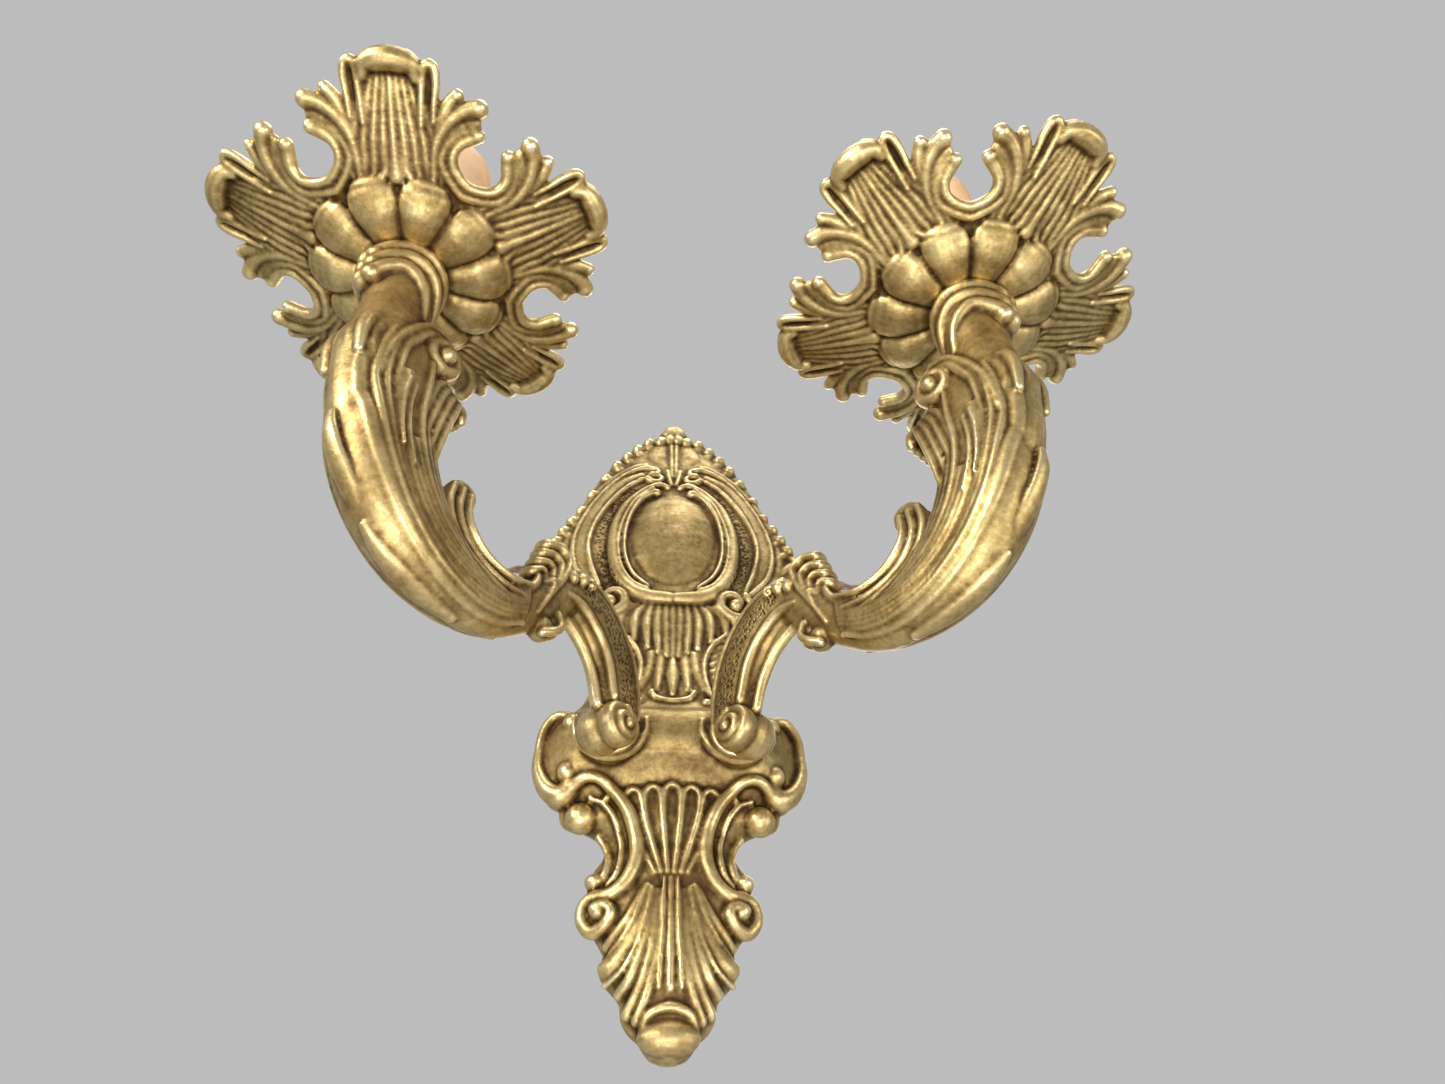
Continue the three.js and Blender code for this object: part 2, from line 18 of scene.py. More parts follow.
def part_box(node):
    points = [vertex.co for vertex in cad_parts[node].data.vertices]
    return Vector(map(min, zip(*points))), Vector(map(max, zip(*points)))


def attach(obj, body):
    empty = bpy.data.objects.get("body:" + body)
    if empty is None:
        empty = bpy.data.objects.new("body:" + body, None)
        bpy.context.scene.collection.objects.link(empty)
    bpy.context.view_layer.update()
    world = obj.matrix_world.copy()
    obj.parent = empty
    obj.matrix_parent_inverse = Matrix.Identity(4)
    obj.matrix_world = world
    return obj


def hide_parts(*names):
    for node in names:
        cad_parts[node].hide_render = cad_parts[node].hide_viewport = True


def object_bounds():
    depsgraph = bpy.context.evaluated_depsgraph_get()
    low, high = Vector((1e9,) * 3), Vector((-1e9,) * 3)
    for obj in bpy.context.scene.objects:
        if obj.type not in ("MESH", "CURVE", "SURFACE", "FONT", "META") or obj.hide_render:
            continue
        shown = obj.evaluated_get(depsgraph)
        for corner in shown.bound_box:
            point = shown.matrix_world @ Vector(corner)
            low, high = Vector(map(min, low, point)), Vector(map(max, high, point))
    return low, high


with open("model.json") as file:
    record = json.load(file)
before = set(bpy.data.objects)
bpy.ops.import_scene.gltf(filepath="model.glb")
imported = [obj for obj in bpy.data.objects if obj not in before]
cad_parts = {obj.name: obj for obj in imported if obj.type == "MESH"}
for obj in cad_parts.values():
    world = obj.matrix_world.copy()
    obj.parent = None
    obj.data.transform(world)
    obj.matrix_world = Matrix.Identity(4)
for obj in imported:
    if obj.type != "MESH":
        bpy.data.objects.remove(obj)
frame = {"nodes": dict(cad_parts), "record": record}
CAD_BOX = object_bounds()
MM = 0.001
SIDES = {"left": -1, "right": 1}


def box_mm(node):
    low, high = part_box(node)
    return np.array(low) / MM, np.array(high) / MM


def vec(*values):
    return np.array(values, float)


def unit(v):
    return v / max(np.linalg.norm(v), 1e-9)


# ---------------------------------------------------------------- places taken from the frame
nipple_low, nipple_high = box_mm("nipple_right")
PAN_AXIS = (nipple_low + nipple_high)[:2] / 2
screw_low, screw_high = box_mm("arm_screw_right")
SEAT_X, SEAT_Z = (screw_low + screw_high)[[0, 2]] / 2
plate_low, plate_high = box_mm("back_plate")
CREST_Z, TIP_Z = plate_high[2], plate_low[2]
pan_low, pan_high = box_mm("pan_left")
FOOT = vec(SEAT_X, -38)
RUN = unit(PAN_AXIS - FOOT)
PAN_OUT = float(RUN @ (PAN_AXIS - FOOT))
VOLUTE_Z = -125.3


# ---------------------------------------------------------------- curves and small solids
def curve_through(points, per_span=8):
    """A smooth curve through points of any dimension (Catmull-Rom)."""
    points = np.array(points, float)
    padded = np.vstack([2 * points[0] - points[1], points, 2 * points[-1] - points[-2]])
    made = []
    for a, b, c, d in zip(padded, padded[1:], padded[2:], padded[3:]):
        for t in np.linspace(0, 1, per_span, endpoint=False):
            made.append(0.5 * (2 * b + (c - a) * t + (2 * a - 5 * b + 4 * c - d) * t**2
                               + (3 * b - a - 3 * c + d) * t**3))
    made.append(points[-1])
    return np.array(made)


def along(values, count):
    """A list of values stretched evenly over count places."""
    values = np.atleast_1d(np.array(values, float))
    if len(values) == 1:
        return np.full(count, values[0])
    return np.interp(np.linspace(0, 1, count), np.linspace(0, 1, len(values)), values)


class Clay:
    """Overlapping closed solids that are fused into one casting."""

    def __init__(self):
        self.points, self.faces, self.count = [], [], 0

    def add(self, points, faces):
        self.points.append(np.array(points, float))
        self.faces.extend([tuple(i + self.count for i in f) for f in faces])
        self.count += len(points)

    def rings(self, rings, closed_ends=True):
        """A skin over rings of points with equal counts, capped at both ends."""
        n = len(rings[0])
        faces = []
        for i in range(len(rings) - 1):
            for j in range(n):
                k = (j + 1) % n
                faces.append((i * n + j, i * n + k, (i + 1) * n + k, (i + 1) * n + j))
        if closed_ends:
            faces.append(tuple(range(n))[::-1])
            faces.append(tuple((len(rings) - 1) * n + j for j in range(n)))
        self.add(np.vstack(rings), faces)

    def strand(self, centres, normals, half_width, half_height, sides=10):
        """A rounded tube that tapers, with its width across the surface and its height along the normal."""
        n = len(centres)
        widths, heights = along(half_width, n), along(half_height, n)
        tangents = np.gradient(centres, axis=0)
        rings = []

        def ring(i, shift, scale):
            t = unit(tangents[i])
            up = unit(normals[i] - t * (normals[i] @ t))
            across = np.cross(t, up)
            phi = np.linspace(0, 2 * math.pi, sides, endpoint=False)[:, None]
            here = centres[i] + t * shift
            return here + scale * (widths[i] * np.cos(phi) * across + heights[i] * np.sin(phi) * up)

        for a in (80, 50, 25):
            reach = min(widths[0], heights[0])
            rings.append(ring(0, -reach * math.sin(math.radians(a)), math.cos(math.radians(a))))
        for i in range(n):
            rings.append(ring(i, 0, 1))
        for a in (25, 50, 80):
            reach = min(widths[-1], heights[-1])
            rings.append(ring(n - 1, reach * math.sin(math.radians(a)), math.cos(math.radians(a))))
        self.rings(rings)

    def lump(self, centre, radii, axes=None, steps=12):
        """An ellipsoid."""
        axes = np.eye(3) if axes is None else np.array(axes)
        rings = []
        for a in np.linspace(-86, 86, 9):
            level, wide = math.sin(math.radians(a)), math.cos(math.radians(a))
            phi = np.linspace(0, 2 * math.pi, steps, endpoint=False)
            local = np.stack([radii[0] * wide * np.cos(phi), radii[1] * wide * np.sin(phi),
                              np.full(steps, radii[2] * level)], 1)
            rings.append(centre + local @ axes)
        self.rings(rings)

    def lathe(self, profile, centre, steps=72, wobble=None):
        """A solid of revolution about Z from a closed loop of [radius, height] points."""
        profile = np.array(profile, float)
        rings = []
        for phi in np.linspace(0, 2 * math.pi, steps, endpoint=False):
            r = np.maximum(profile[:, 0], 0.0)
            if wobble:
                r = r + wobble(phi, profile)
            rings.append(np.stack([centre[0] + r * math.cos(phi), centre[1] + r * math.sin(phi),
                                   centre[2] + profile[:, 1]], 1))
        n = len(profile)
        faces = []
        for i in range(steps):
            k = (i + 1) % steps
            for j in range(n):
                m = (j + 1) % n
                faces.append((i * n + j, k * n + j, k * n + m, i * n + m))
        self.add(np.vstack(rings), faces)


def mesh_object(name, points_mm, faces, smooth=True):
    mesh = bpy.data.meshes.new(name)
    mesh.from_pydata((np.array(points_mm) * MM).tolist(), [], faces)
    mesh.validate()
    mesh.update()
    if smooth:
        mesh.polygons.foreach_set("use_smooth", [True] * len(mesh.polygons))
    piece = bpy.data.objects.new(name, mesh)
    bpy.context.scene.collection.objects.link(piece)
    return piece


def evaluated(piece):
    """The piece's mesh with its modifiers applied."""
    graph = bpy.context.evaluated_depsgraph_get()
    mesh = bpy.data.meshes.new_from_object(piece.evaluated_get(graph))
    piece.modifiers.clear()
    piece.data = mesh
    return mesh


def neighbour_mean(values, edges, degree):
    total = np.zeros_like(values)
    for axis in range(3):
        total[:, axis] = (np.bincount(edges[:, 0], values[edges[:, 1], axis], len(values))
                          + np.bincount(edges[:, 1], values[edges[:, 0], axis], len(values)))
    return total / degree[:, None]


FINE_STEPS = 5
WIDE_STEPS = 45


def keep_relief(mesh, soften=2):
    """Softens the skin a little, then stores how far each point stands proud of its surroundings, in mm."""
    n = len(mesh.vertices)
    co = np.zeros(n * 3)
    mesh.vertices.foreach_get("co", co)
    co = co.reshape(n, 3) / MM
    edges = np.zeros(len(mesh.edges) * 2, int)
    mesh.edges.foreach_get("vertices", edges)
    edges = edges.reshape(-1, 2)
    degree = np.maximum(np.bincount(edges.ravel(), minlength=n), 1)
    for _ in range(soften):
        co = 0.4 * co + 0.6 * neighbour_mean(co, edges, degree)
    mesh.vertices.foreach_set("co", (co * MM).ravel())
    mesh.update()
    normals = np.zeros(n * 3)
    mesh.vertices.foreach_get("normal", normals)
    normals = normals.reshape(n, 3)
    blurred = co.copy()
    for step in range(1, WIDE_STEPS + 1):
        blurred = 0.5 * blurred + 0.5 * neighbour_mean(blurred, edges, degree)
        if step in (FINE_STEPS, WIDE_STEPS):
            name = "relief_fine" if step == FINE_STEPS else "relief_wide"
            proud = ((co - blurred) * normals).sum(1)
            layer = mesh.attributes.new(name, "FLOAT", "POINT")
            layer.data.foreach_set("value", proud.astype(np.float32))
    return co, normals


def cast(clay, name, voxel, punched=None, wall=None):
    """Fuses the clay into one casting. punched says how strongly a point's ground is stippled, from 0 to 1."""
    points = np.vstack(clay.points)
    if wall is not None:
        points[:, 1] = np.minimum(points[:, 1], wall)
    piece = mesh_object(name, points, clay.faces)
    remesh = piece.modifiers.new("fuse", "REMESH")
    remesh.mode = "VOXEL"
    remesh.voxel_size = voxel * MM
    remesh.use_smooth_shade = True
    mesh = evaluated(piece)
    co, normals = keep_relief(mesh)
    shares = punched(co, normals) if punched else np.zeros(len(co))
    layer = mesh.attributes.new("punched", "FLOAT", "POINT")
    layer.data.foreach_set("value", shares.astype(np.float32))
    mesh.polygons.foreach_set("use_smooth", [True] * len(mesh.polygons))
    return piece


# ---------------------------------------------------------------- node materials
def new_material(name):
    material = bpy.data.materials.new(name)
    material.use_nodes = True
    tree = material.node_tree
    tree.nodes.clear()
    output = tree.nodes.new("ShaderNodeOutputMaterial")
    shader = tree.nodes.new("ShaderNodeBsdfPrincipled")
    tree.links.new(shader.outputs[0], output.inputs[0])
    return material, tree, shader


def place_of(tree):
    return tree.nodes.new("ShaderNodeTexCoord").outputs["Object"]


def noise(tree, place, scale, detail=4.0, rough=0.6):
    node = tree.nodes.new("ShaderNodeTexNoise")
    node.inputs["Scale"].default_value = scale
    node.inputs["Detail"].default_value = detail
    node.inputs["Roughness"].default_value = rough
    tree.links.new(place, node.inputs["Vector"])
    return node.outputs["Fac"]


def sums(tree, operation, a, b):
    node = tree.nodes.new("ShaderNodeMath")
    node.operation = operation
    for socket, value in zip(node.inputs, (a, b)):
        if isinstance(value, (int, float)):
            socket.default_value = value
        else:
            tree.links.new(value, socket)
    return node.outputs[0]


def remap(tree, value, low, high, to_low=0.0, to_high=1.0):
    node = tree.nodes.new("ShaderNodeMapRange")
    for name, number in zip(("From Min", "From Max", "To Min", "To Max"), (low, high, to_low, to_high)):
        node.inputs[name].default_value = number
    tree.links.new(value, node.inputs["Value"])
    return node.outputs[0]


def ramp(tree, value, stops):
    node = tree.nodes.new("ShaderNodeValToRGB")
    elements = node.color_ramp.elements
    while len(elements) < len(stops):
        elements.new(0.5)
    for element, (at, colour) in zip(elements, stops):
        element.position = at
        element.color = (*colour, 1)
    tree.links.new(value, node.inputs["Fac"])
    return node.outputs["Color"]


def mix(tree, share, a, b):
    node = tree.nodes.new("ShaderNodeMix")
    node.data_type = "RGBA"
    for socket, value in ((node.inputs[0], share), (node.inputs[6], a), (node.inputs[7], b)):
        if isinstance(value, tuple):
            socket.default_value = (*value, 1)
        elif isinstance(value, (int, float)):
            socket.default_value = value
        else:
            tree.links.new(value, socket)
    return node.outputs[2]


def bump(tree, height, strength, distance, before=None):
    node = tree.nodes.new("ShaderNodeBump")
    node.inputs["Strength"].default_value = strength
    node.inputs["Distance"].default_value = distance
    tree.links.new(height, node.inputs["Height"])
    if before:
        tree.links.new(before, node.inputs["Normal"])
    return node.outputs[0]


def attribute(tree, name):
    node = tree.nodes.new("ShaderNodeAttribute")
    node.attribute_name = name
    return node.outputs["Fac"]


# Darkest tone, for the recesses: partly the brass's patina, partly painted shade standing in for occlusion.
RECESS_PATINA_AND_SHADE = (0.050, 0.029, 0.011)
SHADED = (0.17, 0.110, 0.042)
MIDDLE = (0.385, 0.278, 0.108)
WORN = (0.68, 0.53, 0.26)
BRIGHT = (0.90, 0.78, 0.49)


def cast_brass():
    """Antiqued cast brass: dark in the recesses (partly patina, partly painted shade), rubbed bright on what stands
    out, with a fine cast grain.
    """
    material, tree, shader = new_material("cast_brass_patina_and_shade")
    place = place_of(tree)
    fine = remap(tree, attribute(tree, "relief_fine"), -0.16, 0.16, -1, 1)
    wide = remap(tree, attribute(tree, "relief_wide"), -1.0, 1.0, -1, 1)
    # Relief drives the colour: low places turn dark as patina mixed with painted shade (the broad relief stands in for
    # occlusion), high places turn bright as worn brass.
    stands_out = sums(tree, "ADD", sums(tree, "MULTIPLY", fine, 0.30), sums(tree, "MULTIPLY", wide, 0.24))
    blotches = remap(tree, noise(tree, place, 60, 5, 0.65), 0.3, 0.7, -0.13, 0.13)
    mottle = remap(tree, noise(tree, place, 420, 3, 0.7), 0.3, 0.7, -0.08, 0.08)
    cells = tree.nodes.new("ShaderNodeTexVoronoi")
    cells.inputs["Scale"].default_value = 780
    tree.links.new(place, cells.inputs["Vector"])
    holes = remap(tree, cells.outputs["Distance"], 0.1, 0.62, 1, 0)
    punched = sums(tree, "MULTIPLY", holes, attribute(tree, "punched"))
    level = sums(tree, "ADD", sums(tree, "ADD", stands_out, blotches), sums(tree, "ADD", mottle, 0.47))
    level = sums(tree, "SUBTRACT", level, sums(tree, "MULTIPLY", punched, 0.42))
    brass = ramp(tree, level, [(0.12, RECESS_PATINA_AND_SHADE), (0.32, SHADED), (0.5, MIDDLE), (0.72, WORN), (0.92, BRIGHT)])
    warm = remap(tree, noise(tree, place, 35, 3, 0.5), 0.48, 0.75, 0, 0.28)
    tinted = mix(tree, warm, brass, (0.30, 0.165, 0.075))
    tree.links.new(tinted, shader.inputs["Base Color"])
    shader.inputs["Metallic"].default_value = 1.0
    roughness = remap(tree, level, 0.15, 0.95, 0.62, 0.3)
    tree.links.new(roughness, shader.inputs["Roughness"])
    grain = bump(tree, noise(tree, place, 900, 3, 0.65), 0.35, 0.00025)
    pits = bump(tree, noise(tree, place, 240, 4, 0.7), 0.28, 0.0006, grain)
    stippled = bump(tree, sums(tree, "MULTIPLY", punched, -1.0), 0.8, 0.0005, pits)
    tree.links.new(stippled, shader.inputs["Normal"])
    return material


def turned_brass():
    material, tree, shader = new_material("turned_brass_dull")
    place = place_of(tree)
    tone = ramp(tree, noise(tree, place, 180, 4), [(0.3, (0.42, 0.28, 0.11)), (0.7, (0.66, 0.49, 0.22))])
    tree.links.new(tone, shader.inputs["Base Color"])
    shader.inputs["Metallic"].default_value = 1.0
    tree.links.new(remap(tree, noise(tree, place, 90), 0.3, 0.7, 0.26, 0.42), shader.inputs["Roughness"])
    wave = tree.nodes.new("ShaderNodeTexWave")
    wave.bands_direction = "Z"
    wave.inputs["Scale"].default_value = 900
    wave.inputs["Distortion"].default_value = 0.4
    tree.links.new(place, wave.inputs["Vector"])
    tree.links.new(bump(tree, wave.outputs["Fac"], 0.12, 0.0002), shader.inputs["Normal"])
    return material


def zinc_steel():
    material, tree, shader = new_material("zinc_plated_steel")
    place = place_of(tree)
    tone = ramp(tree, noise(tree, place, 260, 5), [(0.3, (0.34, 0.345, 0.35)), (0.7, (0.55, 0.56, 0.57))])
    tree.links.new(tone, shader.inputs["Base Color"])
    shader.inputs["Metallic"].default_value = 1.0
    tree.links.new(remap(tree, noise(tree, place, 130), 0.3, 0.7, 0.3, 0.5), shader.inputs["Roughness"])
    tree.links.new(bump(tree, noise(tree, place, 1100, 2), 0.15, 0.0002), shader.inputs["Normal"])
    return material


def plain_finish(name, dark, light, rough, scale, bumpiness):
    """A non-metal with soft colour variation and a fine surface grain."""
    material, tree, shader = new_material(name)
    place = place_of(tree)
    tone = ramp(tree, noise(tree, place, scale, 5), [(0.3, dark), (0.7, light)])
    tree.links.new(tone, shader.inputs["Base Color"])
    tree.links.new(remap(tree, noise(tree, place, scale * 2), 0.3, 0.7, rough - 0.07, rough + 0.07),
                   shader.inputs["Roughness"])
    tree.links.new(bump(tree, noise(tree, place, scale * 8, 3), bumpiness, 0.0003), shader.inputs["Normal"])
    return material


MATERIALS = {
    "cast_brass": cast_brass(),
    "turned_brass": turned_brass(),
    "zinc_steel": zinc_steel(),
    "sleeve_card": plain_finish("sleeve_card_aged", (0.62, 0.35, 0.15), (0.82, 0.50, 0.24), 0.55, 90, 0.2),
    "holder_bakelite": plain_finish("holder_bakelite_brown", (0.012, 0.008, 0.006), (0.03, 0.018, 0.012),
                                    0.36, 120, 0.1),
    "block_ceramic": plain_finish("block_ceramic_glazed", (0.70, 0.66, 0.58), (0.80, 0.77, 0.70), 0.18, 60, 0.08),
    "flex_jacket": plain_finish("flex_jacket_brown", (0.17, 0.07, 0.05), (0.30, 0.14, 0.10), 0.5, 300, 0.2),
}
NODE_SLOT = {part["node"]: part["material_slot"] for part in frame["record"]["subparts"]}
for node, thing in frame["nodes"].items():
    thing.data.materials.clear()
    thing.data.materials.append(MATERIALS[NODE_SLOT[node]])


def finish_piece(piece, node):
    """Gives a piece its node's finish and body, and lets it stand for that node."""
    slot = NODE_SLOT[node]
    piece.data.materials.clear()
    piece.data.materials.append(MATERIALS[slot])
    body = next(b for b, nodes in frame["record"]["behaviour"]["bodies"].items() if node in nodes)
    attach(piece, body)
    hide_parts(node)
    return piece


# ---------------------------------------------------------------- back plate
PLATE_OUTLINE = [
    [1.5, 65.5], [6.5, 62.5], [7.5, 59], [13, 56], [17.5, 50.5], [22.5, 45], [27, 38], [32, 29],
    [36, 19], [40, 8], [43, 0], [46, -6], [49, -12], [52, -18], [52, -24],
    [47, -31], [40.5, -39], [34.5, -48], [30.5, -60], [28.5, -72], [29, -84], [31.5, -91], [38, -97],
    [43, -102], [45.5, -108], [45.5, -117], [43.5, -123.5], [39, -129], [34.5, -131.5], [31.5, -136.5],
    [25.5, -139], [21, -142], [20.5, -148], [23, -151.5], [25.5, -155.5], [24.5, -158], [27, -163],
    [26, -168.5], [22, -172.5], [19, -177.5], [20.5, -182.5], [18.5, -186], [14, -190.5],
    [13.5, -195.5], [11.5, -199], [8.2, -201.5], [7.2, -203.5], [5, -206], [1.5, -207.2],
]
PLATE_CROWN = [
    [66, 6], [50, 8.2], [25, 10], [-40, 11], [-75, 11.5], [-94, 14.5], [-99, 17], [-100.5, 23.5],
    [-105, 25.6], [-112, 26.3], [-119, 25.4], [-124.5, 21.5], [-127, 15], [-150, 12.6], [-182, 12.6],
    [-200, 10], [-207.5, 7],
]
PLATE_EDGE = 4.6
PLATE_WALL = 3.2
PLATE_HOLLOW = [
    [6, 52], [19, 40], [30, 20], [36, 3], [42, -10], [43, -20], [36, -34], [27, -52], [25, -80],
    [27, -93], [36, -104], [38, -114], [33, -122], [25, -131], [16, -141], [16, -150], [19, -161],
    [13, -175], [12, -184], [7, -192],
]
MEDALLION_Z = -12


def by_height(table, z):
    table = np.array(table, float)[::-1]
    return np.interp(z, table[:, 0], table[:, 1])


def width_at(table, z):
    table = np.array(table, float)[::-1]
    return float(np.interp(z, table[:, 1], table[:, 0]))


def crown_at(z):
    """The smoothed height of the plate's middle line out of the wall."""
    return sum(by_height(PLATE_CROWN, z + step) for step in (-3, -2, -1, 0, 1, 2, 3)) / 7


def band_bend(x, z):
    """How far the convex band's edges are shifted, so that its outline is a lens between two arcs."""
    near = np.interp(z, [-142, -134, -94, -88], [0, 1, 1, 0])
    arch = 2.4 - 0.006 * x * x
    return near * np.interp(z, [-118, -106], [-arch, arch])


def plate_depth(x, z):
    """How far the plate's plain front stands out of the wall."""
    t = min(abs(x) / width_at(PLATE_OUTLINE, z), 1.0)
    return PLATE_EDGE + (crown_at(z + band_bend(x, z)) - PLATE_EDGE) * (1 - t**2.5)


def on_plate(x, z, lift=0.0):
    """A point of the plate's front, and the way out of it."""
    step = 1.0
    slope_x = (plate_depth(x + step, z) - plate_depth(x - step, z)) / (2 * step)
    slope_z = (plate_depth(x, z + step) - plate_depth(x, z - step)) / (2 * step)
    normal = unit(vec(-np.clip(slope_x, -0.8, 0.8), -1, -np.clip(slope_z, -0.8, 0.8)))
    return vec(x, -plate_depth(x, z) - lift, z), normal


def plate_ridge(clay, points, half_width, half_height, lift=0.0, per_span=7):
    """A ridge along [x, z] points of the plate's front, and its mirror image."""
    path = curve_through(points, per_span)
    for side in (1, -1):
        centres, normals = [], []
        lifts = along(lift, len(path))
        for (x, z), up in zip(path, lifts):
            centre, normal = on_plate(side * x, z, up)
            centres.append(centre)
            normals.append(normal)
        clay.strand(np.array(centres), np.array(normals), half_width, half_height)
        if max(abs(p[0]) for p in points) < 0.01:
            break


def plate_lump(clay, x, z, radii, lift=0.0):
    for side in ((1, -1) if x else (1,)):
        centre, _ = on_plate(side * x, z, lift)
        clay.lump(centre, radii)


def plate_base(clay):
    """The plain domed shell of the plate, hollow behind."""
    steps = 36
    rings = []
    for z in np.concatenate([np.arange(CREST_Z - 0.3, TIP_Z + 0.4, -1.5), [TIP_Z + 0.35]]):
        half = width_at(PLATE_OUTLINE, z)
        hollow = width_at(PLATE_HOLLOW, z) if -192 < z < 52 else 0.0
        front, back = [], []
        for x in np.linspace(-half, half, steps):
            depth = plate_depth(x, z)
            front.append(vec(x, -depth, z))
            inside = max(0.0, 1 - abs(x / hollow) ** 6) if hollow > 1 and abs(x) < hollow else 0.0
            back.append(vec(x, -max(depth - PLATE_WALL, 0) * inside, z))
        rings.append(np.array(front + back[::-1]))
    clay.rings(rings)


def plate_top(clay):
    """Crest, double C scrolls, stippled crescents and the domed medallion."""
    sunk = 4
    clay.lump(vec(0, sunk - crown_at(MEDALLION_Z), MEDALLION_Z), (18.9, 15.2 + sunk - crown_at(MEDALLION_Z), 30.2),
              steps=56)
    # crest: a small bud over two beads, and smooth leaf sides parted by one line
    clay.lump(on_plate(0, 60.6)[0], (5.4, 2.2, 4.8))
    plate_ridge(clay, [[1.3, 64], [1.3, 56]], [1.2, 1.6], 1.6)
    for x in (2.0, 5.8):
        plate_lump(clay, x, 54.2 - 0.04 * x * x, (2.6, 2.2, 3.4), 0.2)
    plate_ridge(clay, [[5.6, 51], [7.4, 42], [4.2, 34]], [2.8, 4.4, 2.0], [1.0, 1.3, 0.6], -0.5)
    plate_ridge(clay, [[1.1, 50], [1.0, 40], [0.8, 27]], [0.9, 0.9, 0.6], [0.8, 0.7, 0.6])
    beads = [[11.8, 52.4], [16.6, 48], [21, 42.8], [25.4, 36.6], [29.8, 28.8], [35, 18.2], [39, 8],
             [42.4, 1.2], [45.4, -4.8], [48, -11], [50.6, -17]]
    for k, (x, z) in enumerate(beads):
        inward = unit(vec(-x * 0.7, 14 - z))
        size = 2.8 if k in (0, 1, 2, 3, 7, 8, 9) else 2.1
        plate_lump(clay, x - 0.8, z, (size, size, size * 0.9), 0.2)
        plate_ridge(clay, [[x, z], [x + inward[0] * 3.4, z + inward[1] * 3.4], [x + inward[0] * 6.8, z + inward[1] * 6]],
                    [2.5, 2.1, 1.2], [1.9, 1.4, 0.5], [0, -0.2, -0.4])
    for k, (x, z) in enumerate(beads[7:], 1):
        plate_ridge(clay, [[x + 0.4, z - 1], [x - 3, z - 3.4], [x - 5.8 - 0.4 * k, z - 8]], [1.9, 1.8, 1.1], [1.7, 1.4, 0.7],
                    0)
    outer = [[9.4, 27.6], [7.4, 27.8], [6.8, 30], [9, 32], [13, 32.6], [20.6, 28.4], [28.4, 19.8], [34.8, 8],
             [39.2, -6], [40, -19], [37.2, -29.5], [31.6, -37], [27.6, -41]]
    plate_ridge(clay, outer, [2.1, 1.7, 1.4, 1.4, 1.3, 1.2, 1.2, 1.2, 1.2, 1.2, 1.2, 1.2, 1.2],
                [2.2, 2.0, 1.8, 1.7, 1.7, 1.7, 1.7, 1.7, 1.7, 1.7, 1.6, 1.5, 1.5], 0)
    # the broad smooth band inside the outer scroll
    plate_ridge(clay, [[14, 28.6], [22, 22.8], [29.2, 12.4], [34.4, -0.6], [36.8, -14], [35.2, -26], [30, -36]],
                [1.6, 3.0, 3.8, 4.0, 4.0, 3.4, 2.0], [1.2, 1.8, 2.0, 2.0, 2.0, 1.8, 1.2], -0.5)
    plate_ridge(clay, [[12, 35.2], [17, 34], [25.4, 27.4], [33.6, 16.6], [39.4, 3], [42.6, -10], [42.6, -22], [39.6, -31]],
                [1.6, 2.0, 2.2, 2.2, 2.2, 2.2, 2.0, 1.4], 1.2, -0.3)
    inner = [[13.5, 24.6], [20, 19.4], [27.2, 9.2], [32.3, -3.4], [34, -15.6], [32, -27.2], [28.4, -37]]
    plate_ridge(clay, inner, [0.9, 1.1, 1.2, 1.2, 1.2, 1.2, 1.1], 1.8, 0)
    # thick oval frame, heavier towards the bottom, open at the middle
    frame_route = [[2.6, 19.4], [5.4, 21], [9.6, 19.6], [15.2, 14.4], [20.6, 6], [23.6, -6], [23.9, -18], [22, -30],
                   [17.4, -38.8], [10.4, -43.6], [1.5, -44.8]]
    plate_ridge(clay, frame_route, [1.2, 1.4, 1.5, 1.8, 2.2, 2.5, 2.7, 3.0, 3.3, 3.3, 3.0],
                [1.6, 1.6, 1.6, 1.7, 1.9, 2.1, 2.3, 2.6, 3.1, 3.2, 3.0], 0)
    plate_ridge(clay, [[7.2, 15.8], [9, 15.4], [13.4, 11], [17.6, 1.4], [19.6, -11], [18.9, -23], [15.4, -32.6],
                       [9.4, -39]], [1.9, 1.5, 1.1, 1.0, 1.0, 1.0, 0.9, 0.7], 1.9, 0.3)
    plate_ridge(clay, [[8.6, 18.2], [12, 15.2], [17.2, 8], [21, -4], [22, -16], [20.4, -27.6], [16, -36.2],
                       [9.5, -41]], 0.7, 1.4, 0.9)
    plate_ridge(clay, [[11.6, 25.6], [9, 23.4], [6.2, 23.4], [5.2, 25.6], [7, 27]], [1.8, 1.5, 1.3, 1.2, 1.2], 1.6)
    plate_ridge(clay, [[2.8, 31], [2.2, 26.4], [1, 21.6]], 1.0, 1.0)
    plate_lump(clay, 24, -45.6, (2.8, 3.2, 2.8), 0.4)
    curl = [[28, -39.2], [30.4, -43.8], [28.6, -49.2], [23.4, -51.2], [18.6, -48], [19, -42.6], [23.2, -40.8],
            [26, -43.6], [24, -46]]
    plate_ridge(clay, curl, [1.4, 1.9, 2.3, 2.4, 2.3, 2.0, 1.7, 1.5, 1.7], [1.8, 2.3, 2.6, 2.6, 2.4, 2.2, 2, 1.9, 2.1],
                [0, 0.2, 0.3, 0.3, 0.4, 0.6, 0.8, 0.9, 1.0])


def punched_plate(co, normals):
    """The stippled crescents between the oval frame and the inner scrolls."""
    x, z = np.abs(co[:, 0]), co[:, 2]
    low = np.interp(z, [-38, -30, -20, -5, 7, 17], [21, 24, 27, 26.6, 22.6, 15.5])
    high = np.interp(z, [-38, -27, -15, -3, 9, 17], [26, 29.6, 31.6, 29.8, 25, 19])
    inside = np.minimum(x - low, high - x)
    share = np.clip(inside / 0.8 + 0.5, 0, 1) * ((z > -38) & (z < 19)) * (normals[:, 1] < -0.2)
    return share


